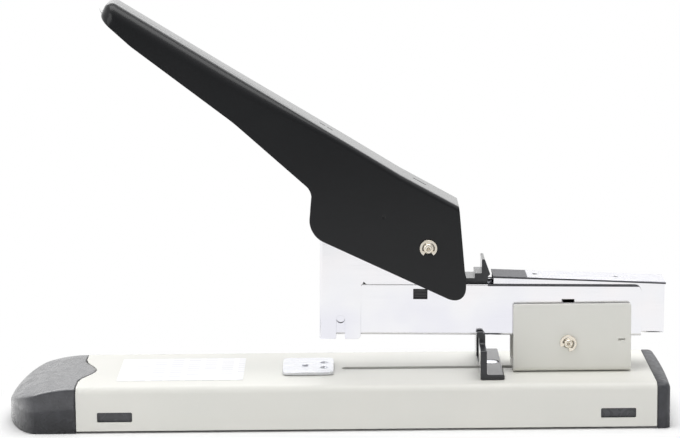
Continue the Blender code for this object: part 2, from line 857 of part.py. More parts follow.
def nose_shares():
    """Forward and sideways shares of the nose's rounding in plan, from its root to its end."""
    power = 2 / NOSE_PLAN_POWER
    end = math.sin(NOSE_END_ANGLE) ** power
    shares = []
    for step in range(NOSE_STEPS + 1):
        angle = NOSE_END_ANGLE * step / NOSE_STEPS
        shares.append((math.sin(angle) ** power / end, math.cos(angle) ** power))
    return shares


def front_cap_ring(x, width_share, inset, top_inset, floor):
    """One section of the front cap: straight sides up to the crease, and a dome above."""
    forward = (BASE_FRONT + DOME_LENGTH - x) / DOME_LENGTH
    forward = min(max(forward, 0), 1)
    fall = (1 - forward**NOSE_SIDE_POWER) ** (1 / NOSE_SIDE_POWER)
    top = NOSE_HEIGHT + (BASE_HEIGHT - NOSE_HEIGHT) * fall
    crease = top * CAP_CREASE_SHARE - top_inset
    top -= top_inset
    half = HALF_WIDTH * width_share - inset
    power = DOME_REAR_POWER + (DOME_NOSE_POWER - DOME_REAR_POWER) * forward
    ring = [Vector((x, half, floor)), Vector((x, -half, floor))]
    for step in range(DOME_STEPS + 1):
        share = math.sin(math.pi / 2 * (2 * step / DOME_STEPS - 1))
        rise = (1 - abs(share) ** power) ** (1 / power)
        ring.append(Vector((x, half * share, crease + (top - crease) * rise)))
    return ring


def front_cap_body(name, rear, wall, top_inset, floor):
    """The cap's outer body, or its hollow where wall is not zero."""
    root = BASE_FRONT + NOSE_LENGTH
    middle = (root + rear) / 2
    stations = [(rear, 1.0), (middle, 1.0)]
    for forward, across in nose_shares():
        stations.append((root - (NOSE_LENGTH - wall) * forward, across))
    rings = [front_cap_ring(x, share, wall * share, top_inset, floor) for x, share in stations]
    return loft(name, rings, CAP_PLASTIC)


def clip_tabs(sheet_end, inward, seam):
    """The two tabs of a cap that reach inside the sheet, behind its clip windows."""
    outside = HALF_WIDTH - BASE_WALL - CLIP_TAB_GAP
    inside = outside - CLIP_TAB_THICKNESS
    reach = CLIP_WINDOW_INSET + CLIP_WINDOW_LENGTH + CLIP_TAB_REACH
    ends = sorted((seam - inward * CLIP_TAB_ROOT, sheet_end + inward * reach))
    low = CLIP_WINDOW_BOTTOM - CLIP_TAB_MARGIN
    high = CLIP_WINDOW_TOP + CLIP_TAB_MARGIN
    return [
        box("tab", *ends, -outside, -inside, low, high, CAP_PLASTIC),
        box("tab", *ends, inside, outside, low, high, CAP_PLASTIC),
    ]


def make_front_cap():
    seam = SHEET_FRONT - SEAT_GAP
    cap = front_cap_body("front_cap", seam, 0, 0, 0)
    hollow = front_cap_body("cap_hollow", seam + OVERRUN, CAP_WALL, CAP_TOP_WALL, CAP_FLOOR)
    cut(cap, hollow)
    top = BASE_HEIGHT - TONGUE_DROP
    tongue = tongue_outline(0)
    lip = flat_plate("tongue", [tongue], top - TONGUE_THICKNESS, top, CAP_PLASTIC)
    return join(cap, lip, *clip_tabs(SHEET_FRONT, 1, seam))


def make_rear_cap():
    seam = SHEET_REAR + SEAT_GAP
    corner = BASE_REAR - REAR_BOW
    plan = [(seam, HALF_WIDTH, 0), (seam, -HALF_WIDTH, 0), (corner, -HALF_WIDTH, REAR_CORNER)]
    for step in range(1, REAR_BOW_STEPS):
        share = 2 * step / REAR_BOW_STEPS - 1
        plan.append((BASE_REAR - REAR_BOW * share**2, HALF_WIDTH * share, 0))
    plan.append((corner, HALF_WIDTH, REAR_CORNER))
    over = BASE_HEIGHT + OVERRUN
    cap = flat_plate("rear_cap", [rounded(plan)], 0, over, CAP_PLASTIC)
    wide = HALF_WIDTH + OVERRUN
    section = [
        (-HALF_WIDTH, -OVERRUN, 0),
        (HALF_WIDTH, -OVERRUN, 0),
        (HALF_WIDTH, BASE_HEIGHT, BASE_BEND),
        (-HALF_WIDTH, BASE_HEIGHT, BASE_BEND),
    ]
    side = [
        (seam - OVERRUN, -OVERRUN, 0),
        (BASE_REAR, -OVERRUN, 0),
        (BASE_REAR, over, REAR_TOP_ROUND + OVERRUN),
        (seam - OVERRUN, over, 0),
    ]
    overlap_of(
        cap,
        extrusion("cap_section", [rounded(section)], seam - OVERRUN, BASE_REAR + OVERRUN, CAP_PLASTIC),
        side_plate("cap_side", [rounded(side)], wide, CAP_PLASTIC),
    )
    inside = HALF_WIDTH - CAP_WALL
    back = BASE_REAR - REAR_BOW - REAR_CAP_WALL
    hollow = box(
        "cap_hollow",
        seam - OVERRUN,
        back,
        -inside,
        inside,
        CAP_FLOOR,
        BASE_HEIGHT - CAP_TOP_WALL,
        CAP_PLASTIC,
    )
    cut(cap, hollow)
    return join(cap, *clip_tabs(SHEET_REAR, -1, seam))


def make_anvil():
    half = ANVIL_WIDTH / 2
    outline = rectangle(ANVIL_FRONT, ANVIL_REAR, -half, half, ANVIL_CORNER)
    hole = circle(ANVIL_RIVET_X, 0, ANVIL_RIVET_RADIUS + SHAFT_GAP)
    anvil = flat_plate("anvil", [outline, hole], DECK_Z, ANVIL_TOP, CHROME)
    pockets = []
    for side in (-1, 1):
        pocket = rectangle(
            POCKET_X - POCKET_LENGTH / 2,
            POCKET_X + POCKET_LENGTH / 2,
            side * POCKET_Y - POCKET_WIDTH / 2,
            side * POCKET_Y + POCKET_WIDTH / 2,
            POCKET_LENGTH / 2,
        )
        floor = ANVIL_TOP - POCKET_DEPTH
        pockets.append(flat_plate("pocket", [pocket], floor, ANVIL_TOP + OVERRUN, CHROME))
    return cut(anvil, *pockets)


def make_anvil_rivet():
    seat = ANVIL_TOP + SEAT_GAP
    tail = SHEET_UNDERSIDE - SEAT_GAP
    levels = (seat + ANVIL_HEAD_HEIGHT, seat, tail, tail - ANVIL_HEAD_HEIGHT)
    pin = rivet(
        "anvil_rivet",
        ANVIL_RIVET_RADIUS,
        ANVIL_HEAD_RADIUS,
        ANVIL_HEAD_RADIUS,
        levels,
        ZINC,
    )
    pin.location = (ANVIL_RIVET_X, 0, 0)
    return pin


def make_bracket():
    over = BRACKET_TOP + OVERRUN
    section = channel_outline(BRACKET_HALF_WIDTH, BRACKET_WALL, DECK_Z, over, BRACKET_BEND)
    bracket = extrusion(
        "bracket",
        [section],
        BRACKET_FRONT - OVERRUN,
        BRACKET_REAR + OVERRUN,
        BASE_PAINT,
    )
    side = rounded(
        [
            (BRACKET_FRONT, DECK_Z - OVERRUN, 0),
            (BRACKET_REAR, DECK_Z - OVERRUN, 0),
            (BRACKET_REAR, BRACKET_TOP, BRACKET_CORNER),
            (BRACKET_FRONT, BRACKET_TOP, BRACKET_CORNER),
        ]
    )
    pin_hole = circle(HEAD_PIVOT_X, HEAD_PIVOT_Z, HEAD_PIN_RADIUS + SHAFT_GAP)
    slot = rectangle(
        BRACKET_SLOT_X - BRACKET_SLOT_LENGTH / 2,
        BRACKET_SLOT_X + BRACKET_SLOT_LENGTH / 2,
        BRACKET_SLOT_Z - BRACKET_SLOT_HEIGHT / 2,
        BRACKET_SLOT_Z + BRACKET_SLOT_HEIGHT / 2,
    )
    wide = BRACKET_HALF_WIDTH + OVERRUN
    overlap_of(bracket, side_plate("bracket_side", [side, pin_hole, slot], wide, BASE_PAINT))
    radius = BRACKET_RIVET_RADIUS + SHAFT_GAP
    holes = [
        hole_through("rivet_cutter", x, y, radius, DECK_Z, WEB_TOP)
        for x, y in bracket_rivet_places()
    ]
    return cut(bracket, *holes)


def make_bracket_rivets():
    seat = WEB_TOP + SEAT_GAP
    tail = SHEET_UNDERSIDE - SEAT_GAP
    levels = (seat + RIVET_HEAD_HEIGHT, seat, tail, tail - RIVET_HEAD_HEIGHT)
    for number, (x, y) in enumerate(bracket_rivet_places(), start=1):
        pin = rivet(
            f"bracket_rivet_{number}",
            BRACKET_RIVET_RADIUS,
            BRACKET_HEAD_RADIUS,
            BRACKET_HEAD_RADIUS,
            levels,
            ZINC,
        )
        pin.location = (x, y, 0)


def make_head_pivot():
    pin = grooved_pin(
        "bracket_pin",
        HEAD_PIN_RADIUS,
        HEAD_PIN_GROOVE_RADIUS,
        BRACKET_HALF_WIDTH,
        ZINC,
    )
    pin.location = HEAD_PIVOT
    centre = HEAD_PIVOT.xz
    hole = circle(*centre, HEAD_PIN_RADIUS + SHAFT_GAP)
    ring = circle(*centre, WASHER_RADIUS)
    for name, side in (("near", -1), ("far", 1)):
        retaining_clip(
            f"bracket_clip_{name}",
            HEAD_CLIP_RADIUS,
            HEAD_PIN_GROOVE_RADIUS,
            HEAD_CLIP_MOUTH,
            centre,
            side,
            BRACKET_HALF_WIDTH,
        )
        inner = FRAME_HALF_WIDTH + SEAT_GAP
        outer = BRACKET_HALF_WIDTH - BRACKET_WALL - SEAT_GAP
        low, high = (inner, outer) if side < 0 else (-outer, -inner)
        plate(f"pivot_washer_{name}", [ring, hole], low, high, ACROSS, ZINC)


def level_height_at_rest(x, z):
    """World height of a place in the level head's drawing, once the head is tilted."""
    forward = HEAD_PIVOT_X - x
    return HEAD_PIVOT_Z + forward * math.sin(HEAD_TILT) + (z - HEAD_PIVOT_Z) * math.cos(HEAD_TILT)


def make_head_return_spring():
    wire = LIFT_SPRING_WIRE
    foot = WEB_TOP + SEAT_GAP + wire / 2
    under_frame = level_height_at_rest(LIFT_SPRING_X + LIFT_SPRING_RADIUS, FRAME_BOTTOM)
    head = under_frame - SEAT_GAP - wire / 2
    points = helix(LIFT_SPRING_RADIUS, LIFT_SPRING_TURNS, head - foot)
    spring = wire_piece("head_return_spring", points, wire, SPRING_STEEL)
    spring.location = (LIFT_SPRING_X, 0, foot)
    print_least_gap("head_return_spring", points, wire)


def make_paper_guide():
    rear = GUIDE_FRONT + GUIDE_LENGTH
    wall_rear = GUIDE_FRONT + GUIDE_WALL
    lip_front = GUIDE_FRONT - GUIDE_LIP_LENGTH
    section = []
    half_section = (
        (GUIDE_HALF_WIDTH, DECK_Z - OVERRUN, 0),
        (GUIDE_HALF_WIDTH, GUIDE_SHOULDER_Z, GUIDE_ROUND),
        (GUIDE_NECK_HALF_WIDTH, GUIDE_NECK_Z, GUIDE_ROUND),
        (GUIDE_NECK_HALF_WIDTH, GUIDE_TOP + OVERRUN, 0),
        (GUIDE_NOTCH_HALF_WIDTH, GUIDE_TOP + OVERRUN, 0),
        (GUIDE_NOTCH_HALF_WIDTH, GUIDE_FOOT_TOP + GUIDE_SILL, 0),
    )
    section += half_section
    section += [(-y, z, radius) for y, z, radius in reversed(half_section)]
    guide = extrusion(
        "paper_guide",
        [rounded(section)],
        lip_front - OVERRUN,
        rear + OVERRUN,
        DARK_PLASTIC,
    )
    side = rounded(
        [
            (GUIDE_FRONT, DECK_Z, 0),
            (rear, DECK_Z, 0),
            (rear, GUIDE_FOOT_TOP, GUIDE_ROUND),
            (wall_rear, GUIDE_FOOT_TOP, GUIDE_ROUND),
            (wall_rear, GUIDE_TOP - GUIDE_LIP_HEIGHT, 0),
            (wall_rear - GUIDE_LIP_LENGTH, GUIDE_TOP, GUIDE_ROUND),
            (lip_front, GUIDE_TOP, GUIDE_ROUND),
            (lip_front, GUIDE_TOP - GUIDE_LIP_HEIGHT, 0),
            (GUIDE_FRONT, GUIDE_TOP - GUIDE_LIP_HEIGHT - GUIDE_LIP_SLOPE, 0),
        ]
    )
    wide = GUIDE_HALF_WIDTH + OVERRUN
    overlap_of(guide, side_plate("guide_side", [side], wide, DARK_PLASTIC))
    shank = GUIDE_SHANK_RADIUS + SHAFT_GAP
    bore = flat_plate(
        "guide_bore",
        [circle(GUIDE_RIVET_X, 0, GUIDE_HEAD_RADIUS + SEAT_GAP)],
        GUIDE_BORE_Z,
        GUIDE_FOOT_TOP + OVERRUN,
        DARK_PLASTIC,
    )
    hole = hole_through("guide_hole", GUIDE_RIVET_X, 0, shank, DECK_Z, GUIDE_FOOT_TOP)
    cut(guide, bore, hole)

    retainer_top = SHEET_UNDERSIDE - SEAT_GAP
    retainer_bottom = retainer_top - RETAINER_THICKNESS
    outline = rectangle(
        GUIDE_RIVET_X - RETAINER_LENGTH / 2,
        GUIDE_RIVET_X + RETAINER_LENGTH / 2,
        -RETAINER_HALF_WIDTH,
        RETAINER_HALF_WIDTH,
        GUIDE_ROUND,
    )
    flat_plate(
        "guide_retainer",
        [outline, circle(GUIDE_RIVET_X, 0, shank)],
        retainer_bottom,
        retainer_top,
        ZINC,
    )
    head_seat = GUIDE_BORE_Z + SEAT_GAP
    tail_seat = retainer_bottom - SEAT_GAP
    levels = (head_seat + RIVET_HEAD_HEIGHT, head_seat, tail_seat, tail_seat - RIVET_HEAD_HEIGHT)
    pin = rivet(
        "guide_rivet",
        GUIDE_SHANK_RADIUS,
        GUIDE_HEAD_RADIUS,
        GUIDE_TAIL_RADIUS,
        levels,
        CHROME,
    )
    pin.location = (GUIDE_RIVET_X, 0, 0)


def make_head_frame():
    over = FRAME_TOP + OVERRUN
    section = channel_outline(FRAME_HALF_WIDTH, FRAME_WALL, FRAME_BOTTOM, over, FRAME_BEND)
    frame = extrusion(
        "head_frame",
        [section],
        FRAME_FRONT - OVERRUN,
        FRAME_REAR + OVERRUN,
        CHROME,
    )
    side = rounded(
        [
            (FRAME_FRONT, FRAME_BOTTOM - OVERRUN, 0),
            (FRAME_REAR, FRAME_BOTTOM - OVERRUN, 0),
            (FRAME_REAR, FRAME_TOP, FRAME_REAR_CORNER),
            (FRAME_FRONT, FRAME_TOP, 0),
        ]
    )
    lug_window = rectangle(LUG_FRONT, LUG_REAR, LUG_BOTTOM, LUG_TOP)
    sight = rectangle(SIGHT_FRONT, SIGHT_REAR, SIGHT_BOTTOM, SIGHT_TOP)
    wide = FRAME_HALF_WIDTH + OVERRUN
    overlap_of(frame, side_plate("frame_side", [side, lug_window, sight], wide, CHROME))
    ear = rounded(
        [
            (HEAD_PIVOT_X - EAR_HALF_LENGTH, HEAD_PIVOT_Z - EAR_DROP, EAR_ROUND),
            (HEAD_PIVOT_X + EAR_HALF_LENGTH, HEAD_PIVOT_Z - EAR_DROP, EAR_ROUND),
            (HEAD_PIVOT_X + EAR_HALF_LENGTH, FRAME_BOTTOM + EAR_HALF_LENGTH, 0),
            (HEAD_PIVOT_X - EAR_HALF_LENGTH, FRAME_BOTTOM + EAR_HALF_LENGTH, 0),
        ]
    )
    near = (FRAME_INSIDE, FRAME_HALF_WIDTH)
    far = (-FRAME_HALF_WIDTH, -FRAME_INSIDE)
    join(frame, *[plate("ear", [ear], *levels, ACROSS, CHROME) for levels in (near, far)])
    hole = [circle(HEAD_PIVOT_X, HEAD_PIVOT_Z, HEAD_PIN_RADIUS + SHAFT_GAP)]
    return cut(frame, side_plate("pin_cutter", hole, wide, CHROME))


def make_tower():
    rear = LEVER_PIVOT_X + TOWER_EAR_RADIUS
    inner_front = TOWER_FRONT + TOWER_FRONT_WALL
    inner_bend = TOWER_BEND - TOWER_WALL
    plan = rounded(
        [
            (rear + OVERRUN, TOWER_HALF_WIDTH, 0),
            (TOWER_FRONT, TOWER_HALF_WIDTH, TOWER_BEND),
            (TOWER_FRONT, -TOWER_HALF_WIDTH, TOWER_BEND),
            (rear + OVERRUN, -TOWER_HALF_WIDTH, 0),
            (rear + OVERRUN, -TOWER_INSIDE, 0),
            (inner_front, -TOWER_INSIDE, inner_bend),
            (inner_front, TOWER_INSIDE, inner_bend),
            (rear + OVERRUN, TOWER_INSIDE, 0),
        ]
    )
    ear_top = LEVER_PIVOT_Z + TOWER_EAR_RADIUS
    tower = flat_plate("tower", [plan], TOWER_FOOT_Z - OVERRUN, ear_top + OVERRUN, CHROME)
    keyhole_rear = KEYHOLE_FRONT + KEYHOLE_WIDTH
    ahead = TOWER_FRONT - OVERRUN
    side = rounded(
        [
            (ahead, TOWER_FOOT_Z, 0),
            (KEYHOLE_FRONT, TOWER_FOOT_Z, FOOT_ROUND),
            (KEYHOLE_FRONT, KEYHOLE_TOP, KEYHOLE_WIDTH / 2),
            (keyhole_rear, KEYHOLE_TOP, KEYHOLE_WIDTH / 2),
            (keyhole_rear, TOWER_FOOT_Z, FOOT_ROUND),
            (TOWER_LEG_REAR, TOWER_FOOT_Z, LEG_ROUND),
            (TOWER_LEG_REAR, TOWER_BODY_Z - RELIEF, 0),
            (TOWER_LEG_REAR + RELIEF, TOWER_BODY_Z + RELIEF, 0),
            (TOWER_LEG_REAR + RELIEF + RELIEF, TOWER_BODY_Z, 0),
            (rear, TOWER_BODY_Z, TOWER_EDGE_ROUND),
            (rear, ear_top, TOWER_EAR_RADIUS),
            (LEVER_PIVOT_X - TOWER_EAR_FRONT, ear_top, TOWER_EDGE_ROUND),
            (LEVER_PIVOT_X - TOWER_EAR_BLEND, TOWER_TOP, TOWER_EDGE_ROUND),
            (ahead, TOWER_TOP, 0),
        ]
    )
    hole = circle(LEVER_PIVOT_X, LEVER_PIVOT_Z, LEVER_PIN_RADIUS + SHAFT_GAP)
    wide = TOWER_HALF_WIDTH + OVERRUN
    return overlap_of(tower, side_plate("tower_side", [side, hole], wide, CHROME))


def make_lever_pivot():
    pin = grooved_pin(
        "handle_pin",
        LEVER_PIN_RADIUS,
        LEVER_PIN_GROOVE_RADIUS,
        LEVER_HALF_WIDTH,
        ZINC,
    )
    pin.location = LEVER_PIVOT
    pieces = [pin]
    for name, side in (("near", -1), ("far", 1)):
        pieces.append(
            retaining_clip(
                f"handle_clip_{name}",
                LEVER_CLIP_RADIUS,
                LEVER_PIN_GROOVE_RADIUS,
                LEVER_CLIP_MOUTH,
                LEVER_PIVOT.xz,
                side,
                LEVER_HALF_WIDTH,
            )
        )
    return pieces


def lever_top(x):
    """Height of the closed lever's top edge above its pin."""
    forward, up = zip(*LEVER_TOP_SHARES)
    return float(np.interp(x / LEVER_REACH, forward, up)) * LEVER_RISE


def lever_envelope(name, inset, reach_inset, deep, rear, material):
    """Rounded outside of the lever, or a smaller copy inside it, open far below."""
    tip = -LEVER_REACH + reach_inset
    stations = []
    for step in range(LEVER_TIP_STEPS + 1):
        share = math.sin(math.pi / 2 * step / LEVER_TIP_STEPS)
        stations.append(tip + LEVER_TIP_ROUND * (1 - math.sqrt(1 - share**2)))
    stations.sort()
    grip = LEVER_GRIP_SHARE * LEVER_REACH
    body = LEVER_BODY_SHARE * LEVER_REACH
    for step in range(LEVER_BLEND_STEPS + 1):
        stations.append(grip + (body - grip) * step / LEVER_BLEND_STEPS)
    stations += [LEVER_TOP_SHARES[1][0] * LEVER_REACH, LEVER_TOP_SHARES[2][0] * LEVER_REACH, rear]
    rings = []
    for x in stations:
        into_tip = max(1 - (x - tip) / LEVER_TIP_ROUND, 0)
        pull = LEVER_TIP_ROUND * (1 - math.sqrt(1 - into_tip**2))
        half = LEVER_HALF_WIDTH - inset - pull
        growth = float(np.interp(x, (grip, body), (1, 0)))
        edge = LEVER_EDGE_ROUND + (LEVER_GRIP_ROUND - LEVER_EDGE_ROUND) * growth
        edge = max(edge - inset, LEVER_EDGE_ROUND * LEVER_LEAST_EDGE_SHARE)
        edge = min(edge, half * LEVER_MOST_EDGE_SHARE)
        top = lever_top(x) - inset
        ring = [Vector((x, half, deep)), Vector((x, -half, deep))]
        for step in range(LEVER_EDGE_STEPS + 1):
            angle = math.pi / 2 * step / LEVER_EDGE_STEPS
            y = -half + edge * (1 - math.cos(angle))
            ring.append(Vector((x, y, top - edge * (1 - math.sin(angle)))))
        ring += [Vector((x, -p.y, p.z)) for p in reversed(ring[2:])]
        rings.append(ring)
    return loft(name, rings, material)


def lever_slots(shrink):
    """Plans (x_low, x_high, half_width) of the narrow slots in the lever's top."""
    plans = []
    for number, share in enumerate(LEVER_SLOT_SHARES):
        middle = share * LEVER_REACH
        low = middle - TAB_LENGTH / 2
        high = middle + TAB_LENGTH / 2
        spans = [(low, high)]
        if number == 0:
            spans = [(low, middle - TAB_BRIDGE / 2), (middle + TAB_BRIDGE / 2, high)]
        plans += [(a + shrink, b - shrink, TAB_WIDTH / 2 - shrink) for a, b in spans]
    return plans


def make_handle_shell():
    far_below = -LEVER_RISE - LEVER_HALF_WIDTH
    rear = LEVER_CORNER_SHARES[5][0] * LEVER_REACH + OVERRUN
    shell = lever_envelope("handle_shell", 0, 0, far_below, rear, LEVER_PAINT)
    corners = [
        (x * LEVER_REACH, z * LEVER_RISE, radius * LEVER_RISE)
        for x, z, radius in LEVER_CORNER_SHARES
    ]
    last_x, last_z, _ = corners[-1]
    slope_x = corners[-1][0] - corners[-2][0]
    slope_z = corners[-1][1] - corners[-2][1]
    over_share = OVERRUN / slope_z
    corners[-1] = (last_x + slope_x * over_share, last_z + OVERRUN, 0)
    corners.append((corners[-1][0] - OVERRUN, LEVER_RISE + OVERRUN, 0))
    tip_round = LEVER_TIP_CORNER_SHARE * LEVER_RISE
    corners.append((-LEVER_REACH + tip_round, LEVER_RISE + OVERRUN, 0))
    corners.append((-LEVER_REACH + tip_round, LEVER_RISE + WELD, 0))
    corners.append((-LEVER_REACH, LEVER_RISE, tip_round))
    side = side_plate("lever_side", [rounded(corners)], LEVER_HALF_WIDTH + OVERRUN, LEVER_PAINT)
    overlap_of(shell, side)
    hollow = lever_envelope(
        "lever_hollow",
        LEVER_WALL,
        LEVER_WALL,
        far_below - OVERRUN,
        rear + OVERRUN,
        LEVER_PAINT,
    )
    tools = [hollow]
    for low, high, half in lever_slots(0):
        bottom = lever_top(high) - LEVER_WALL - OVERRUN
        top = lever_top(low) + OVERRUN
        tools.append(box("slot_cutter", low, high, -half, half, bottom, top, LEVER_PAINT))
    hole = [circle(0, 0, LEVER_PIN_RADIUS + SHAFT_GAP)]
    tools.append(side_plate("pin_cutter", hole, LEVER_HALF_WIDTH + OVERRUN, LEVER_PAINT))
    return cut(shell, *tools)


def make_handle_core():
    inset = LEVER_WALL + SEAT_GAP
    far_below = -LEVER_RISE - LEVER_HALF_WIDTH
    rear = LEVER_CORNER_SHARES[5][0] * LEVER_REACH
    core = lever_envelope("handle_core", inset, inset, far_below, rear, ZINC)
    corners = [
        (x * LEVER_REACH, z * LEVER_RISE, radius * LEVER_RISE)
        for x, z, radius in CORE_CORNER_SHARES
    ]
    over = LEVER_RISE + OVERRUN
    corners.append((CORE_REAR_SHARE * LEVER_REACH, lever_top(0) - LEVER_WALL, 0))
    corners.append((CORE_REAR_SHARE * LEVER_REACH, over, 0))
    corners.append((corners[0][0], over, 0))
    side = side_plate("core_side", [rounded(corners)], LEVER_HALF_WIDTH, ZINC)
    overlap_of(core, side)
    thick = inset + CORE_WALL
    low = far_below - OVERRUN
    hollow = lever_envelope("core_hollow", thick, inset, low, rear + OVERRUN, ZINC)
    cut(core, hollow)
    tabs = []
    for low, high, half in lever_slots(SEAT_GAP):
        bottom = lever_top(low) - thick
        top = lever_top(high) - SEAT_GAP
        tabs.append(box("core_tab", low, high, -half, half, bottom, top, ZINC))
    join(core, *tabs)
    wide = LEVER_HALF_WIDTH
    pin_hole = [circle(0, 0, LEVER_PIN_RADIUS + SHAFT_GAP)]
    drive_hole = [circle(DRIVE_CLOSED_X, DRIVE_RISE, DRIVE_PIN_RADIUS + SHAFT_GAP)]
    return cut(
        core,
        side_plate("pin_cutter", pin_hole, wide, ZINC),
        side_plate("drive_cutter", drive_hole, wide, ZINC),
    )


def make_drive_pin():
    half_length = LEVER_HALF_WIDTH - LEVER_WALL - SEAT_GAP
    centre = Vector((DRIVE_CLOSED_X, 0, DRIVE_RISE))
    return rod("drive_pin", DRIVE_PIN_RADIUS, centre, 2 * half_length, ACROSS, ZINC)


def make_plunger():
    pin_front = LEVER_PIVOT_X + DRIVE_CLOSED_X - DRIVE_PIN_RADIUS
    pin_rear = DRIVE_OPEN_X + DRIVE_PIN_RADIUS
    seat = DRIVE_OPEN_Z - DRIVE_PIN_RADIUS - SEAT_GAP
    roof = DRIVE_OPEN_Z + DRIVE_PIN_RADIUS + PLUNGER_SLACK
    top = roof + PLUNGER_ARM
    slot_rear = pin_rear + SEAT_GAP
    outline = [
        (PLUNGER_FRONT, PLUNGER_BOTTOM, 0),
        (PLUNGER_REAR, PLUNGER_BOTTOM, 0),
        (PLUNGER_REAR, PLUNGER_STEP, 0),
        (PLUNGER_ARM_REAR, PLUNGER_STEP, 0),
        (PLUNGER_ARM_REAR, top, 0),
        (max(PLUNGER_FRONT, pin_front), top, 0),
        (max(PLUNGER_FRONT, pin_front), roof, 0),
        (slot_rear, roof, 0),
        (slot_rear, seat, 0),
        (PLUNGER_FRONT, seat, 0),
    ]
    side = rounded(outline)
    plunger = side_plate("plunger", [side], PLUNGER_HALF_WIDTH + OVERRUN, ZINC)
    front_view = [
        (-PLUNGER_HALF_WIDTH, top + OVERRUN, 0),
        (-PLUNGER_HALF_WIDTH, PLUNGER_SHOULDER, 0),
        (-PLUNGER_STEM_HALF_WIDTH, PLUNGER_SHOULDER, 0),
        (-PLUNGER_STEM_HALF_WIDTH, PLUNGER_BOTTOM - OVERRUN, 0),
        (PLUNGER_STEM_HALF_WIDTH, PLUNGER_BOTTOM - OVERRUN, 0),
        (PLUNGER_STEM_HALF_WIDTH, PLUNGER_SHOULDER, 0),
        (PLUNGER_HALF_WIDTH, PLUNGER_SHOULDER, 0),
        (PLUNGER_HALF_WIDTH, top + OVERRUN, 0),
    ]
    behind = PLUNGER_ARM_REAR + OVERRUN
    width = extrusion("front_view", [rounded(front_view)], PLUNGER_FRONT - OVERRUN, behind, ZINC)
    overlap_of(plunger, width)
    radius = BLADE_RIVET_RADIUS + SHAFT_GAP
    length = PLUNGER_REAR - PLUNGER_FRONT
    middle = (PLUNGER_REAR + PLUNGER_FRONT) / 2
    lay = Matrix.Rotation(math.pi / 2, 4, "Y")
    holes = [
        rod("rivet_cutter", radius, Vector((middle, 0, z)), length + OVERRUN, lay, ZINC)
        for z in (BLADE_RIVET_LOW, BLADE_RIVET_HIGH)
    ]
    return cut(plunger, *holes)


def make_driver_blade():
    rear = PLUNGER_FRONT - SEAT_GAP
    outline = rectangle(-BLADE_HALF_WIDTH, BLADE_HALF_WIDTH, BLADE_TIP, BLADE_TOP)
    radius = BLADE_RIVET_RADIUS + SHAFT_GAP
    holes = [circle(0, z, radius) for z in (BLADE_RIVET_LOW, BLADE_RIVET_HIGH)]
    return extrusion("driver_blade", [outline, *holes], rear - BLADE_THICKNESS, rear, ZINC)


def make_driver_rivets():
    front = PLUNGER_FRONT - SEAT_GAP - BLADE_THICKNESS
    seat = PLUNGER_REAR + SEAT_GAP
    profile = [
        (BLADE_HEAD_RADIUS, seat + BLADE_HEAD_HEIGHT),
        (BLADE_HEAD_RADIUS, seat),
        (BLADE_RIVET_RADIUS, seat),
        (BLADE_RIVET_RADIUS, front),
    ]
    rivets = []
    for name, z in (("low", BLADE_RIVET_LOW), ("high", BLADE_RIVET_HIGH)):
        pin = turned(f"driver_rivet_{name}", profile, ZINC)
        pin.rotation_euler = TO_X
        pin.location = (0, 0, z)
        rivets.append(pin)
    return rivets


def cover_slope(x, front_z, rear_z):
    share = (x - COVER_FRONT) / (COVER_REAR - COVER_FRONT)
    return front_z + (rear_z - front_z) * share


def make_magazine_channel():
    front_height = COVER_FRONT_TOP - COVER_THICKNESS - SEAT_GAP
    rear_height = COVER_REAR_TOP - COVER_THICKNESS - SEAT_GAP
    section = channel_outline(
        CHANNEL_HALF_WIDTH,
        CHANNEL_WALL,
        CHANNEL_BOTTOM,
        front_height + OVERRUN,
        CHANNEL_WALL,
    )
    channel = extrusion(
        "magazine_channel",
        [section],
        FRAME_FRONT - OVERRUN,
        CHANNEL_REAR + OVERRUN,
        CHROME,
    )
    side = rounded(
        [
            (FRAME_FRONT, CHANNEL_BOTTOM - OVERRUN, 0),
            (CHANNEL_REAR, CHANNEL_BOTTOM - OVERRUN, 0),
            (CHANNEL_REAR, rear_height, 0),
            (COVER_FRONT + SEAT_GAP, front_height, 0),
            (COVER_FRONT + SEAT_GAP, CHANNEL_FRONT_TOP, 0),
            (FRAME_FRONT, CHANNEL_FRONT_TOP, 0),
        ]
    )
    lug_window = rectangle(
        LUG_FRONT - LATCH_TRAVEL - SEAT_GAP,
        LUG_REAR + SEAT_GAP,
        LUG_BOTTOM - SEAT_GAP,
        LUG_TOP + SEAT_GAP,
    )
    sight = rectangle(
        SIGHT_FRONT - SEAT_GAP,
        SIGHT_REAR + SEAT_GAP,
        SIGHT_BOTTOM - SEAT_GAP,
        SIGHT_TOP + SEAT_GAP,
    )
    wide = CHANNEL_HALF_WIDTH + OVERRUN
    return overlap_of(channel, side_plate("channel_side", [side, lug_window, sight], wide, CHROME))


def make_staple_rail():
    foot = CHANNEL_FLOOR + SEAT_GAP
    section = arch_outline(RAIL_HALF_WIDTH, RAIL_WALL, foot, RAIL_TOP, RAIL_WALL)
    return extrusion("staple_rail", [section], FRAME_FRONT, RAIL_REAR, ZINC)


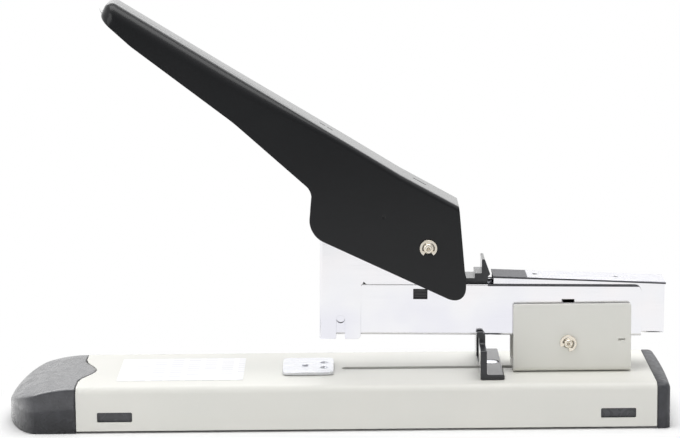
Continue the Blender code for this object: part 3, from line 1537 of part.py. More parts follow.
def make_magazine_cover():
    outline = [
        (COVER_FRONT, COVER_FRONT_SKIRT, 0),
        (COVER_REAR, COVER_REAR_SKIRT, 0),
        (COVER_REAR, COVER_REAR_TOP, 0),
        (COVER_FRONT, COVER_FRONT_TOP, 0),
    ]
    cover = side_plate("magazine_cover", [rounded(outline)], COVER_HALF_WIDTH, CHROME)
    front = COVER_FRONT - OVERRUN
    rear = COVER_REAR + OVERRUN
    inside = [
        (front, COVER_REAR_SKIRT - OVERRUN, 0),
        (rear, COVER_REAR_SKIRT - OVERRUN, 0),
        (rear, cover_slope(rear, COVER_FRONT_TOP, COVER_REAR_TOP) - COVER_THICKNESS, 0),
        (front, cover_slope(front, COVER_FRONT_TOP, COVER_REAR_TOP) - COVER_THICKNESS, 0),
    ]
    half = COVER_HALF_WIDTH - COVER_WALL
    tools = [side_plate("cover_hollow", [rounded(inside)], half, CHROME)]
    for share in COVER_HOLE_SHARES:
        x = COVER_FRONT + (COVER_REAR - COVER_FRONT) * share
        low = COVER_REAR_TOP - COVER_THICKNESS - OVERRUN
        tools.append(
            hole_through("cover_hole", x, 0, COVER_HOLE_RADIUS, low, COVER_FRONT_TOP + OVERRUN)
        )
    return cut(cover, *tools)


def make_end_plate():
    half = CHANNEL_INSIDE - SEAT_GAP
    outline = rectangle(-half, half, CHANNEL_FLOOR + SEAT_GAP, END_PLATE_TOP)
    hole = circle(0, ROD_Z, ROD_RADIUS + SHAFT_GAP)
    rear = END_PLATE_FRONT + END_PLATE_THICKNESS
    return extrusion("magazine_end_plate", [outline, hole], END_PLATE_FRONT, rear, ZINC)


def make_follower_rod():
    seat = END_PLATE_FRONT + END_PLATE_THICKNESS + SEAT_GAP
    profile = [
        (ROD_HEAD_RADIUS, seat + ROD_HEAD_HEIGHT),
        (ROD_HEAD_RADIUS, seat),
        (ROD_RADIUS, seat),
        (ROD_RADIUS, ROD_FRONT),
    ]
    piece = turned("follower_rod", profile, ZINC)
    piece.rotation_euler = TO_X
    piece.location = (0, 0, ROD_Z)
    return piece


def make_follower():
    inside = RAIL_HALF_WIDTH + SEAT_GAP
    roof = RAIL_TOP + SEAT_GAP
    section = rounded(
        [
            (-FOLLOWER_HALF_WIDTH, FOLLOWER_SKIRT, 0),
            (-inside, FOLLOWER_SKIRT, 0),
            (-inside, roof, 0),
            (inside, roof, 0),
            (inside, FOLLOWER_SKIRT, 0),
            (FOLLOWER_HALF_WIDTH, FOLLOWER_SKIRT, 0),
            (FOLLOWER_HALF_WIDTH, FOLLOWER_DECK, 0),
            (-FOLLOWER_HALF_WIDTH, FOLLOWER_DECK, 0),
        ]
    )
    follower = extrusion("follower", [section], FOLLOWER_FRONT, FOLLOWER_REAR, ZINC)
    post = box(
        "post",
        FOLLOWER_STEP,
        FOLLOWER_REAR - SEAT_GAP,
        -FOLLOWER_POST_HALF_WIDTH,
        FOLLOWER_POST_HALF_WIDTH,
        FOLLOWER_DECK - FOLLOWER_POST_ROOT,
        FOLLOWER_POST_TOP,
        ZINC,
    )
    join(follower, post)
    middle = (FOLLOWER_STEP + FOLLOWER_REAR) / 2
    length = FOLLOWER_REAR - FOLLOWER_STEP + OVERRUN
    lay = Matrix.Rotation(math.pi / 2, 4, "Y")
    centre = Vector((middle, 0, ROD_Z))
    bore = rod("rod_cutter", ROD_RADIUS + SHAFT_GAP, centre, length, lay, ZINC)
    return cut(follower, bore)


def make_follower_spring():
    wire = FEED_SPRING_WIRE
    start = FOLLOWER_REAR + SEAT_GAP + wire / 2
    end = END_PLATE_FRONT - SEAT_GAP - wire / 2
    points = helix(FEED_SPRING_RADIUS, FEED_SPRING_TURNS, end - start)
    print_least_gap("follower_spring", points, wire)
    spring = wire_piece("follower_spring", points, wire, SPRING_STEEL)
    spring.rotation_euler = TO_X
    spring.location = (start, 0, ROD_Z)
    return spring


def make_latch():
    outline = rounded(
        [
            (LATCH_FRONT, LATCH_BOTTOM, 0),
            (LATCH_REAR, LATCH_BOTTOM, 0),
            (LATCH_REAR, LATCH_HEEL_Z - LATCH_HEEL_DROP, 0),
            (LATCH_HEEL_X, LATCH_HEEL_Z, LATCH_ROUND),
            (LATCH_FIN_BACK, LATCH_FIN_TOP, LATCH_ROUND),
            (LATCH_FIN_FRONT, LATCH_FIN_TOP, LATCH_ROUND),
            (LATCH_FIN_FRONT, LATCH_SHELF_TOP, 0),
            (LATCH_STEP_REAR, LATCH_SHELF_TOP, LATCH_ROUND),
            (LATCH_STEP_REAR, LATCH_STEP_TOP, 0),
            (LATCH_STEP_FRONT, LATCH_STEP_TOP, LATCH_ROUND),
            (LATCH_STEP_FRONT, LATCH_BAR_TOP, 0),
            (LATCH_FRONT, LATCH_BAR_TOP, 0),
        ]
    )
    latch = side_plate("latch", [outline], LATCH_TOP_HALF_WIDTH + OVERRUN, DARK_PLASTIC)
    half_view = (
        (LATCH_HALF_WIDTH, LATCH_BOTTOM - OVERRUN, 0),
        (LATCH_HALF_WIDTH, LATCH_WAIST, 0),
        (LATCH_TOP_HALF_WIDTH, LATCH_WAIST, 0),
        (LATCH_TOP_HALF_WIDTH, LATCH_FIN_TOP + OVERRUN, 0),
    )
    front_view = list(half_view)
    front_view += [(-y, z, radius) for y, z, radius in reversed(half_view)]
    front = LATCH_FRONT - OVERRUN
    rear = LATCH_HEEL_X + OVERRUN
    overlap_of(latch, extrusion("front_view", [rounded(front_view)], front, rear, DARK_PLASTIC))
    lugs = []
    for side in (-1, 1):
        inner = side * LATCH_CHEEK_HALF_WIDTH
        cheek = sorted((inner, side * (LATCH_HALF_WIDTH - SEAT_GAP)))
        lug = sorted((inner, side * LATCH_LUG_HALF_WIDTH))
        in_bar = (LATCH_BOTTOM + LATCH_BAR_TOP) / 2
        lug_top = LUG_TOP - SEAT_GAP
        lugs.append(box("lug", LUG_FRONT, LUG_REAR, *lug, LUG_BOTTOM, lug_top, DARK_PLASTIC))
        inset = LUG_FRONT + SEAT_GAP
        outset = LUG_REAR - SEAT_GAP
        low = (LUG_BOTTOM + LUG_TOP) / 2
        lugs.append(box("cheek", inset, outset, *cheek, low, in_bar, DARK_PLASTIC))
    return join(latch, *lugs)


def make_handle_spring():
    """Coils round the lever's pin, a leg up to the lever's core and a foot on the frame."""
    wire = OPEN_SPRING_WIRE
    length = OPEN_SPRING_PITCH * OPEN_SPRING_TURNS
    coil = helix(OPEN_SPRING_RADIUS, OPEN_SPRING_TURNS, length)
    turn = Matrix.Rotation(-math.pi / 2, 3, "X")
    along_y = [turn @ point for point in coil]
    start = Vector((0, -length / 2, 0))
    coil_points = [LEVER_PIVOT + start + point for point in along_y]
    print_least_gap("handle_spring", coil_points, wire)

    inset = LEVER_WALL + SEAT_GAP + CORE_WALL + SEAT_GAP + wire / 2
    up_x = OPEN_SPRING_UP_X_SHARE * LEVER_REACH
    under_core = Vector((up_x, 0, lever_top(up_x) - inset - SEAT_GAP))
    opened = Matrix.Rotation(LEVER_OPEN, 3, "Y") @ under_core
    near_y = Vector((0, coil_points[0].y, 0))
    leg_end = LEVER_PIVOT + opened + near_y
    foot_y = FRAME_HALF_WIDTH - FRAME_WALL / 2
    foot_z = FRAME_TOP + SEAT_GAP + wire / 2
    foot = Vector((OPEN_SPRING_FOOT_X, foot_y, foot_z))
    points = [leg_end] + coil_points + [foot]
    return wire_piece("handle_spring", points, wire, SPRING_STEEL)


def build():
    make_base_shell()
    make_front_cap()
    make_rear_cap()
    make_anvil()
    make_anvil_rivet()
    make_bracket()
    make_bracket_rivets()
    make_head_pivot()
    make_head_return_spring()
    make_paper_guide()

    head = joint_empty("head_hinge", HEAD_PIVOT, turn=HEAD_TILT)
    carry(head, make_head_frame(), make_tower(), *make_lever_pivot(), make_handle_spring())

    lever = joint_empty("lever_hinge", LEVER_PIVOT, head, LEVER_OPEN)
    for piece in (make_handle_shell(), make_handle_core(), make_drive_pin()):
        piece.parent = lever

    driver = joint_empty("driver_slide", Vector((PLUNGER_FRONT, 0, PLUNGER_BOTTOM)), head)
    carry(driver, make_plunger(), make_driver_blade(), *make_driver_rivets())

    magazine = joint_empty("magazine_slide", Vector((FRAME_FRONT, 0, CHANNEL_BOTTOM)), head)
    carry(magazine, make_magazine_channel(), make_staple_rail(), make_magazine_cover())
    carry(magazine, make_end_plate(), make_follower_rod())

    follower = joint_empty("follower_slide", Vector((FOLLOWER_FRONT, 0, ROD_Z)), magazine)
    carry(follower, make_follower(), make_follower_spring())

    latch = joint_empty("latch_slide", Vector((LATCH_FRONT, 0, LATCH_BOTTOM)), magazine)
    carry(latch, make_latch())


build()
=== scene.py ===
"""Looks of the heavy duty stapler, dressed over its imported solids.

Metres, +Z up. X runs from the stapling end (-X) to the rear (+X), Y = 0 is the middle.
"""

import math

import bmesh
import bpy
from mathutils import Matrix, Vector


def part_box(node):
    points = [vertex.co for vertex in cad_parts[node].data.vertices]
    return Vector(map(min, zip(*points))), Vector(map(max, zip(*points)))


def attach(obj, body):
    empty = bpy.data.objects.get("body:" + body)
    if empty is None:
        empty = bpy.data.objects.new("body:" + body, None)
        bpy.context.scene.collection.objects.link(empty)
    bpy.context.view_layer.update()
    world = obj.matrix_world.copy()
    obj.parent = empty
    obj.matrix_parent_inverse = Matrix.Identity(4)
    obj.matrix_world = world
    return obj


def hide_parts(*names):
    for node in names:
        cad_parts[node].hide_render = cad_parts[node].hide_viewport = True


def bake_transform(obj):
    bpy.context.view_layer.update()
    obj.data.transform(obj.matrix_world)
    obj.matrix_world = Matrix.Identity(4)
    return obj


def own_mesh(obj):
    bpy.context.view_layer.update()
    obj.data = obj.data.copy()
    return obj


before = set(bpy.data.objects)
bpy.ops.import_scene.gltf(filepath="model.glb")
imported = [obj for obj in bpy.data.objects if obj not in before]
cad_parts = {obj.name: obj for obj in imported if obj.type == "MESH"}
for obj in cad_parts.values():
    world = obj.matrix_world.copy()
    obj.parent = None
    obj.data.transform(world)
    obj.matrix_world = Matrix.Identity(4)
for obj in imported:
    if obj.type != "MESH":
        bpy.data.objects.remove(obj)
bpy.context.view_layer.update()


# Base
# A long tray of steel sheet, folded down along both sides and open below. The slot for the
# paper guide and the clip windows are punched before folding, then it is powder coated.


def linear(hex_colour):
    """An sRGB hex colour as the linear colour that a shader takes."""
    parts = [int(hex_colour[i : i + 2], 16) / 255 for i in (1, 3, 5)]
    return [*(c / 12.92 if c <= 0.04045 else ((c + 0.055) / 1.055) ** 2.4 for c in parts), 1.0]


def new_material(name, colour, roughness, **sockets):
    """A material and its shader. Other sockets are named with _ for each space."""
    material = bpy.data.materials.new(name)
    material.use_nodes = True
    shader = material.node_tree.nodes["Principled BSDF"]
    shader.inputs["Base Color"].default_value = linear(colour)
    shader.inputs["Roughness"].default_value = roughness
    for socket, value in sockets.items():
        shader.inputs[socket.replace("_", " ")].default_value = value
    return material, shader


def add_node(material, kind, inputs, into=None, **settings):
    """Adds a node, sets it, feeds its inputs and links one output into another node."""
    tree = material.node_tree
    node = tree.nodes.new(kind)
    for name, value in settings.items():
        setattr(node, name, value)
    for socket, value in inputs.items():
        if isinstance(value, bpy.types.NodeSocket):
            tree.links.new(value, node.inputs[socket])
        else:
            node.inputs[socket].default_value = value
    if into:
        output, target, socket = into
        tree.links.new(node.outputs[output], target.inputs[socket])
    return node


def shade_between(ramp, *stops):
    """Gives a colour ramp its stops, each a place and an sRGB colour."""
    elements = ramp.color_ramp.elements
    while len(elements) < len(stops):
        elements.new(1.0)
    for element, (place, colour) in zip(elements, stops):
        element.position = place
        element.color = linear(colour)


def piece_from(drawing, name, material, body, slot, *nodes):
    """Makes a drawing a piece that rides on a body and stands for CAD nodes."""
    mesh = bpy.data.meshes.new(name)
    drawing.to_mesh(mesh)
    drawing.free()
    mesh.materials.append(material)
    mesh.shade_smooth()
    piece = bpy.data.objects.new(name, mesh)
    bpy.context.scene.collection.objects.link(piece)
    piece.modifiers.new("even_shading", "WEIGHTED_NORMAL")
    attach(piece, body)
    if nodes:
        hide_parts(*nodes)
    return piece


MERGE = 0.000004
FLAT_ANGLE = math.radians(1)
SHARP_ANGLE = math.radians(35)


def break_edges(drawing, ease, segments=2):
    """Rounds every sharp edge of a closed drawing a little, as pressing or moulding leaves it."""
    sharp = [e for e in drawing.edges if e.is_manifold and e.calc_face_angle() > SHARP_ANGLE]
    bmesh.ops.bevel(
        drawing,
        geom=sharp,
        offset=ease,
        offset_type="OFFSET",
        affect="EDGES",
        segments=segments,
        profile=0.5,
        material=-1,
        clamp_overlap=False,
    )


def copy_of(node):
    """A merged copy of a CAD node, with its flat faces whole again."""
    drawing = bmesh.new()
    drawing.from_mesh(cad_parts[node].data)
    bmesh.ops.remove_doubles(drawing, verts=drawing.verts, dist=MERGE)
    bmesh.ops.dissolve_limit(
        drawing,
        angle_limit=FLAT_ANGLE,
        verts=drawing.verts,
        edges=drawing.edges,
    )
    return drawing


def eased(node, name, material, body, slot, ease):
    """A CAD node's own shape as a piece, with its sharp edges broken."""
    drawing = copy_of(node)
    break_edges(drawing, ease)
    return piece_from(drawing, name, material, body, slot, node)


# Powder coat on steel: a satin off-white skin with a fine orange peel about 1.2 mm across
PEEL_WIDTH = 0.0012
PEEL_HEIGHT = 0.00003
CLOUD_WIDTH = 0.045
cream_coat, shader = new_material("cream_powder_coat", "#E6E6DF", 0.42, Specular_IOR_Level=0.3)
where = add_node(cream_coat, "ShaderNodeTexCoord", {})
cloud = add_node(
    cream_coat,
    "ShaderNodeTexNoise",
    {"Vector": where.outputs["Object"], "Scale": 1 / CLOUD_WIDTH, "Detail": 3.0},
)
tint = add_node(
    cream_coat,
    "ShaderNodeValToRGB",
    {"Fac": cloud.outputs["Fac"]},
    ("Color", shader, "Base Color"),
)
shade_between(tint, (0.3, "#E5E5DF"), (0.7, "#E9E8E2"))
peel = add_node(
    cream_coat,
    "ShaderNodeTexNoise",
    {"Vector": where.outputs["Object"], "Scale": 1 / PEEL_WIDTH, "Detail": 1.0},
)
add_node(
    cream_coat,
    "ShaderNodeBump",
    {"Height": peel.outputs["Fac"], "Strength": 0.5, "Distance": PEEL_HEIGHT},
    ("Normal", shader, "Normal"),
)
add_node(
    cream_coat,
    "ShaderNodeMapRange",
    {"Value": cloud.outputs["Fac"], "To Min": 0.36, "To Max": 0.46},
    ("Result", shader, "Roughness"),
)

SHEET_EASE = 0.00022
eased("base_shell", "base_tray", cream_coat, "base", "base_paint", SHEET_EASE)


# Label
# A plain film label stuck on the base behind the front cap. It carries only a blank ruled
# chart in pale grey, with no words.

LABEL_LOW = Vector((-0.0963, -0.0220))
LABEL_HIGH = Vector((-0.0410, 0.0220))
LABEL_THICKNESS = 0.00012
LABEL_CORNER = 0.0012
CHART_CELL = 0.0075
CHART_ROW = 0.0040


def flat_plate(low, high, floor, thickness, corner, segments=6):
    """A drawing of a flat plate between two corners of its plan, with round corners."""
    drawing = bmesh.new()
    bmesh.ops.create_grid(drawing, x_segments=1, y_segments=1, size=0.5)
    size = high - low
    middle = (low + high) / 2
    bmesh.ops.scale(drawing, verts=drawing.verts, vec=(size.x, size.y, 1))
    if corner:
        bmesh.ops.bevel(
            drawing,
            geom=drawing.verts[:],
            offset=corner,
            offset_type="OFFSET",
            affect="VERTICES",
            segments=segments,
            profile=0.5,
            material=-1,
        )
    bmesh.ops.translate(drawing, verts=drawing.verts, vec=(middle.x, middle.y, floor))
    grown = bmesh.ops.extrude_face_region(drawing, geom=drawing.faces[:])["geom"]
    top = [g for g in grown if isinstance(g, bmesh.types.BMVert)]
    bmesh.ops.translate(drawing, verts=top, vec=(0, 0, thickness))
    bmesh.ops.recalc_face_normals(drawing, faces=drawing.faces)
    return drawing


# Matt polyester film, almost white, printed with a pale grey chart of empty cells
film, shader = new_material("label_film", "#FAFAFB", 0.30)
where = add_node(film, "ShaderNodeTexCoord", {})
add_node(
    film,
    "ShaderNodeTexBrick",
    {
        "Vector": where.outputs["Object"],
        "Color1": linear("#E6E6EB"),
        "Color2": linear("#F1F1F4"),
        "Mortar": linear("#FCFCFD"),
        "Scale": 1.0,
        "Mortar Size": 0.0013,
        "Mortar Smooth": 0.2,
        "Brick Width": CHART_CELL,
        "Row Height": CHART_ROW,
    },
    ("Color", shader, "Base Color"),
    offset=0.0,
)
label = flat_plate(LABEL_LOW, LABEL_HIGH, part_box("base_shell")[1].z, LABEL_THICKNESS, LABEL_CORNER)
piece_from(label, "blank_label", film, "base", "base_paint")


# End caps
# Two mouldings of dark ABS with a leather grain. They slide into the ends of the tray and
# snap into its windows with sprung tabs. The front one has a domed nose and a tongue.

GAP = 0.0003
SHEET_FRONT = -0.1130
SHEET_REAR = 0.1385
BASE_FRONT = -0.1450
BASE_REAR = 0.1450
HALF_WIDTH = 0.0350
BASE_HEIGHT = 0.0200
CAP_WALL = 0.0024
NOSE_ROOT = -0.1310
NOSE_LENGTH = 0.0140
NOSE_HEIGHT = 0.0075
NOSE_PLAN_POWER = 1.6
NOSE_SIDE_POWER = 1.8
NOSE_END_ANGLE = math.radians(88)
DOME_LENGTH = 0.0300
DOME_REAR_POWER = 6.0
DOME_NOSE_POWER = 3.0
CREASE_SHARE = 0.91
TONGUE_LENGTH = 0.0059
TONGUE_HALF_WIDTH = 0.0210
TONGUE_DROP = 0.0001
STRAIGHT_SHARE = 0.35
CAP_COLUMNS = 56
CAP_ROWS = 56


def baked(piece):
    """Turns a piece's modifiers into plain faces, all but the shading one."""
    shading = piece.modifiers["even_shading"]
    shading.show_viewport = False
    graph = bpy.context.evaluated_depsgraph_get()
    mesh = bpy.data.meshes.new_from_object(piece.evaluated_get(graph))
    for modifier in list(piece.modifiers):
        if modifier != shading:
            piece.modifiers.remove(modifier)
    piece.data = mesh
    piece.modifiers["even_shading"].show_viewport = True
    return piece


def with_wall(piece, thickness):
    """Gives an open skin its wall, inwards."""
    wall = piece.modifiers.new("wall", "SOLIDIFY")
    wall.thickness = thickness
    wall.offset = -1
    wall.use_even_offset = True
    return baked(piece)


def ease_edges(piece, ease, segments=2):
    """Breaks the sharp edges of a finished piece."""
    drawing = bmesh.new()
    drawing.from_mesh(piece.data)
    bmesh.ops.remove_doubles(drawing, verts=drawing.verts, dist=MERGE)
    # A side with holes in it is one face after a cut, and would fold over itself when eased
    bmesh.ops.triangulate(drawing, faces=[f for f in drawing.faces if len(f.verts) > 4])
    break_edges(drawing, ease, segments)
    drawing.to_mesh(piece.data)
    drawing.free()
    piece.data.shade_smooth()
    return piece


def cap_outline_x(share, across):
    """How far forward a place of the cap lies, from its seam (0) to its nose (1)."""
    seam = SHEET_FRONT - GAP
    if share > STRAIGHT_SHARE:
        angle = NOSE_END_ANGLE * (share - STRAIGHT_SHARE) / (1 - STRAIGHT_SHARE)
        power = 2 / NOSE_PLAN_POWER
        end = math.sin(NOSE_END_ANGLE) ** power
        forward = math.sin(angle) ** power / end
        return NOSE_ROOT - NOSE_LENGTH * forward, math.cos(angle) ** power
    root_share = share / STRAIGHT_SHARE
    reach = 0.0
    if abs(across) < TONGUE_HALF_WIDTH:
        reach = TONGUE_LENGTH * (1 + math.cos(math.pi * across / TONGUE_HALF_WIDTH)) / 2
        reach += GAP * reach / TONGUE_LENGTH
    start = seam + reach
    return start + (NOSE_ROOT - start) * root_share, 1.0


def cap_height(x, side_share):
    """Height of the front cap's top over the table, and its crease is at side shares of 1."""
    forward = min(max((BASE_FRONT + DOME_LENGTH - x) / DOME_LENGTH, 0), 1)
    fall = (1 - forward**NOSE_SIDE_POWER) ** (1 / NOSE_SIDE_POWER)
    top = NOSE_HEIGHT + (BASE_HEIGHT - NOSE_HEIGHT) * fall
    crease = top * CREASE_SHARE
    power = DOME_REAR_POWER + (DOME_NOSE_POWER - DOME_REAR_POWER) * forward
    rise = (1 - abs(side_share) ** power) ** (1 / power)
    height = crease + (top - crease) * rise
    return min(height, BASE_HEIGHT - TONGUE_DROP)


cap = bmesh.new()
bmesh.ops.create_grid(cap, x_segments=CAP_COLUMNS, y_segments=CAP_ROWS, size=1)
for vert in cap.verts:
    share = (1 - vert.co.x) / 2
    side_share = math.sin(math.pi / 2 * vert.co.y)
    x, width = cap_outline_x(share, HALF_WIDTH * side_share)
    y = HALF_WIDTH * width * side_share
    vert.co = (x, y, cap_height(x, side_share))
skirt = [
    e
    for e in cap.edges
    if e.is_boundary and not all(v.co.x > SHEET_FRONT - 2 * GAP for v in e.verts)
]
drawn = bmesh.ops.extrude_edge_only(cap, edges=skirt)["geom"]
foot = [g for g in drawn if isinstance(g, bmesh.types.BMVert)]
for vert in foot:
    vert.co.z = 0
bmesh.ops.remove_doubles(cap, verts=cap.verts, dist=MERGE)
foot = [v for v in cap.verts if v.co.z == 0]
bmesh.ops.contextual_create(cap, geom=foot)
bmesh.ops.recalc_face_normals(cap, faces=cap.faces)

# Moulded ABS: dark grey with a raised leather grain of about 1.6 mm, a little glossier on
# the tops of the grain than in its valleys, and handled to a cloudy sheen
GRAIN_WIDTH = 0.0016
GRAIN_HEIGHT = 0.00012
GRAIN_WARP = 0.0009
CAP_CLOUD = 0.0080
grained_abs, shader = new_material(
    "grained_abs", "#3C3D41", 0.4, Specular_IOR_Level=0.5, Coat_Weight=1.0, Coat_IOR=1.4
)
where = add_node(grained_abs, "ShaderNodeTexCoord", {})
warp = add_node(
    grained_abs,
    "ShaderNodeTexNoise",
    {"Vector": where.outputs["Object"], "Scale": 0.4 / GRAIN_WIDTH, "Detail": 2.0},
)
warped = add_node(
    grained_abs,
    "ShaderNodeVectorMath",
    {0: warp.outputs["Color"], 1: (GRAIN_WARP, GRAIN_WARP, GRAIN_WARP), 2: where.outputs["Object"]},
    operation="MULTIPLY_ADD",
)
grain = add_node(
    grained_abs,
    "ShaderNodeTexVoronoi",
    {"Vector": warped.outputs["Vector"], "Scale": 1 / GRAIN_WIDTH, "Randomness": 1.0},
    feature="SMOOTH_F1",
)
add_node(
    grained_abs,
    "ShaderNodeBump",
    {"Height": grain.outputs["Distance"], "Strength": 0.8, "Distance": GRAIN_HEIGHT},
    ("Normal", shader, "Normal"),
    invert=True,
)
tint = add_node(
    grained_abs,
    "ShaderNodeValToRGB",
    {"Fac": warp.outputs["Fac"]},
    ("Color", shader, "Base Color"),
)
shade_between(tint, (0.3, "#36373B"), (0.7, "#424348"))
add_node(
    grained_abs,
    "ShaderNodeMapRange",
    {"Value": grain.outputs["Distance"], "From Max": 0.7, "To Min": 0.36, "To Max": 0.54},
    ("Result", shader, "Roughness"),
)
cloud = add_node(
    grained_abs,
    "ShaderNodeTexNoise",
    {"Vector": where.outputs["Object"], "Scale": 1 / CAP_CLOUD, "Detail": 3.0, "Distortion": 1.5},
)
add_node(
    grained_abs,
    "ShaderNodeMapRange",
    {
        "Value": cloud.outputs["Fac"],
        "From Min": 0.3,
        "From Max": 0.7,
        "To Min": 0.12,
        "To Max": 0.42,
    },
    ("Result", shader, "Coat Roughness"),
)

front_cap = piece_from(cap, "front_cap_shell", grained_abs, "base", "cap_plastic", "front_cap")
with_wall(front_cap, CAP_WALL)

# The rear cap's grain has kept its matt finish, which hands have polished on the front one
matt_abs = grained_abs.copy()
matt_abs.name = "matt_abs"
matt_abs.node_tree.nodes["Principled BSDF"].inputs["Coat Weight"].default_value = 0.0

REAR_BOW = 0.0008
REAR_ROUND = 0.0028
REAR_CUTS = 15
cap = bmesh.new()
rear_seam = SHEET_REAR + GAP
size = Vector((BASE_REAR - rear_seam, 2 * HALF_WIDTH, BASE_HEIGHT))
middle = Vector((BASE_REAR + rear_seam, 0, BASE_HEIGHT)) / 2
bmesh.ops.create_cube(cap, size=1, matrix=Matrix.Translation(middle) @ Matrix.Diagonal((*size, 1)))
across = [e for e in cap.edges if abs(e.verts[0].co.y - e.verts[1].co.y) > HALF_WIDTH]
bmesh.ops.subdivide_edges(cap, edges=across, cuts=REAR_CUTS, use_grid_fill=True)
for vert in cap.verts:
    if vert.co.x > middle.x:
        vert.co.x -= REAR_BOW * (vert.co.y / HALF_WIDTH) ** 2


def cap_edge_is_round(edge):
    """The rear cap's upright rear corners and its upper edges, but not those at the seam."""
    a, b = (v.co for v in edge.verts)
    both_rear = min(a.x, b.x) > middle.x
    both_top = min(a.z, b.z) > middle.z
    both_side = min(a.y * b.y, 0) == 0 and min(abs(a.y), abs(b.y)) > HALF_WIDTH - MERGE
    upright = abs(a.z - b.z) > middle.z
    return (both_rear and upright and both_side) or (both_top and (both_rear or both_side))


bmesh.ops.bevel(
    cap,
    geom=[e for e in cap.edges if cap_edge_is_round(e)],
    offset=REAR_ROUND,
    offset_type="OFFSET",
    affect="EDGES",
    segments=6,
    profile=0.5,
    material=-1,
)
inner = [f for f in cap.faces if all(v.co.x < rear_seam + MERGE for v in f.verts)]
bmesh.ops.delete(cap, geom=inner, context="FACES")
bmesh.ops.recalc_face_normals(cap, faces=cap.faces)
rear_cap = piece_from(cap, "rear_cap_shell", matt_abs, "base", "cap_plastic", "rear_cap")
with_wall(rear_cap, CAP_WALL)

TAB_OUTSIDE = 0.0334
TAB_INSIDE = 0.0312
TAB_LOW = 0.0034
TAB_HIGH = 0.0103
TAB_REACH = 0.0270
TAB_ROOT = 0.0022


def block(drawing, low, high):
    """Adds a block between two corners to a drawing."""
    low, high = Vector(low), Vector(high)
    size = Matrix.Diagonal((*(high - low), 1))
    bmesh.ops.create_cube(drawing, size=1, matrix=Matrix.Translation((low + high) / 2) @ size)


tabs = bmesh.new()
for side in (-1, 1):
    near, far = sorted((side * TAB_INSIDE, side * TAB_OUTSIDE))
    block(tabs, (SHEET_FRONT - GAP - TAB_ROOT, near, TAB_LOW), (SHEET_FRONT + TAB_REACH, far, TAB_HIGH))
    block(tabs, (SHEET_REAR - TAB_REACH, near, TAB_LOW), (rear_seam + TAB_ROOT, far, TAB_HIGH))
break_edges(tabs, GAP)
piece_from(tabs, "cap_tabs", grained_abs, "base", "cap_plastic")


# Anvil
# A small plate of hardened steel, nickel plated, with two pockets that turn the staple legs.
# One rivet holds it on the base.

# Nickel plate: bright and slightly satin, with a faint cross-rolled grain
satin_nickel, shader = new_material("satin_nickel", "#E4E5EA", 0.24, Metallic=1.0)
where = add_node(satin_nickel, "ShaderNodeTexCoord", {})
stretch = add_node(
    satin_nickel,
    "ShaderNodeMapping",
    {"Vector": where.outputs["Object"], "Scale": (60.0, 900.0, 900.0)},
)
rolling = add_node(
    satin_nickel,
    "ShaderNodeTexNoise",
    {"Vector": stretch.outputs["Vector"], "Scale": 1.0, "Detail": 2.0},
)
add_node(
    satin_nickel,
    "ShaderNodeMapRange",
    {"Value": rolling.outputs["Fac"], "To Min": 0.18, "To Max": 0.34},
    ("Result", shader, "Roughness"),
)
PLATE_EASE = 0.00018
eased("anvil", "anvil_plate", satin_nickel, "base", "chrome", PLATE_EASE)

# Zinc plate with a clear passivation: bright, with a faint warm cast
warm_zinc, shader = new_material("warm_zinc_plate", "#F1E9DA", 0.26, Metallic=1.0)
where = add_node(warm_zinc, "ShaderNodeTexCoord", {})
spangle = add_node(
    warm_zinc,
    "ShaderNodeTexNoise",
    {"Vector": where.outputs["Object"], "Scale": 1400.0, "Detail": 3.0},
)
add_node(
    warm_zinc,
    "ShaderNodeMapRange",
    {"Value": spangle.outputs["Fac"], "To Min": 0.18, "To Max": 0.36},
    ("Result", shader, "Roughness"),
)
tint = add_node(
    warm_zinc,
    "ShaderNodeValToRGB",
    {"Fac": spangle.outputs["Fac"]},
    ("Color", shader, "Base Color"),
)
shade_between(tint, (0.35, "#E9DFCC"), (0.65, "#F6F0E6"))
SMALL_EASE = 0.00010
eased("anvil_rivet", "anvil_rivet_head", satin_nickel, "base", "zinc_steel", SMALL_EASE)


# Bracket
# A U of steel sheet, powder coated like the base and riveted to it with four rivets. The
# head's pivot pin passes through it, held by a sprung clip at each end.

eased("bracket", "bracket_sheet", cream_coat, "base", "base_paint", SHEET_EASE)
for number in (1, 2, 3, 4):
    eased(
        f"bracket_rivet_{number}",
        f"web_rivet_{number}",
        warm_zinc,
        "base",
        "zinc_steel",
        SMALL_EASE,
    )

HEAD_PIVOT = Vector((0.1017, 0.0, 0.0331))
PIN_SIDES = 40
TO_NEAR_SIDE = Matrix.Rotation(math.pi / 2, 4, "X")


def turned(profile):
    """A drawing of a solid turned about Z from a half profile (radius, height), top to bottom."""
    drawing = bmesh.new()
    verts = [drawing.verts.new((radius, 0, height)) for radius, height in profile]
    for a, b in zip(verts, verts[1:]):
        drawing.edges.new((a, b))
    bmesh.ops.spin(
        drawing,
        geom=drawing.verts[:] + drawing.edges[:],
        cent=(0, 0, 0),
        axis=(0, 0, 1),
        angle=math.tau,
        steps=PIN_SIDES,
        use_merge=True,
    )
    bmesh.ops.remove_doubles(drawing, verts=drawing.verts, dist=MERGE)
    bmesh.ops.recalc_face_normals(drawing, faces=drawing.faces)
    return drawing


CLIP_THICKNESS = 0.0008
PIN_END = 0.0008
PIN_CHAMFER = 0.0004
PIN_DRILL = 0.0007
GROOVE_GAP = 0.0001


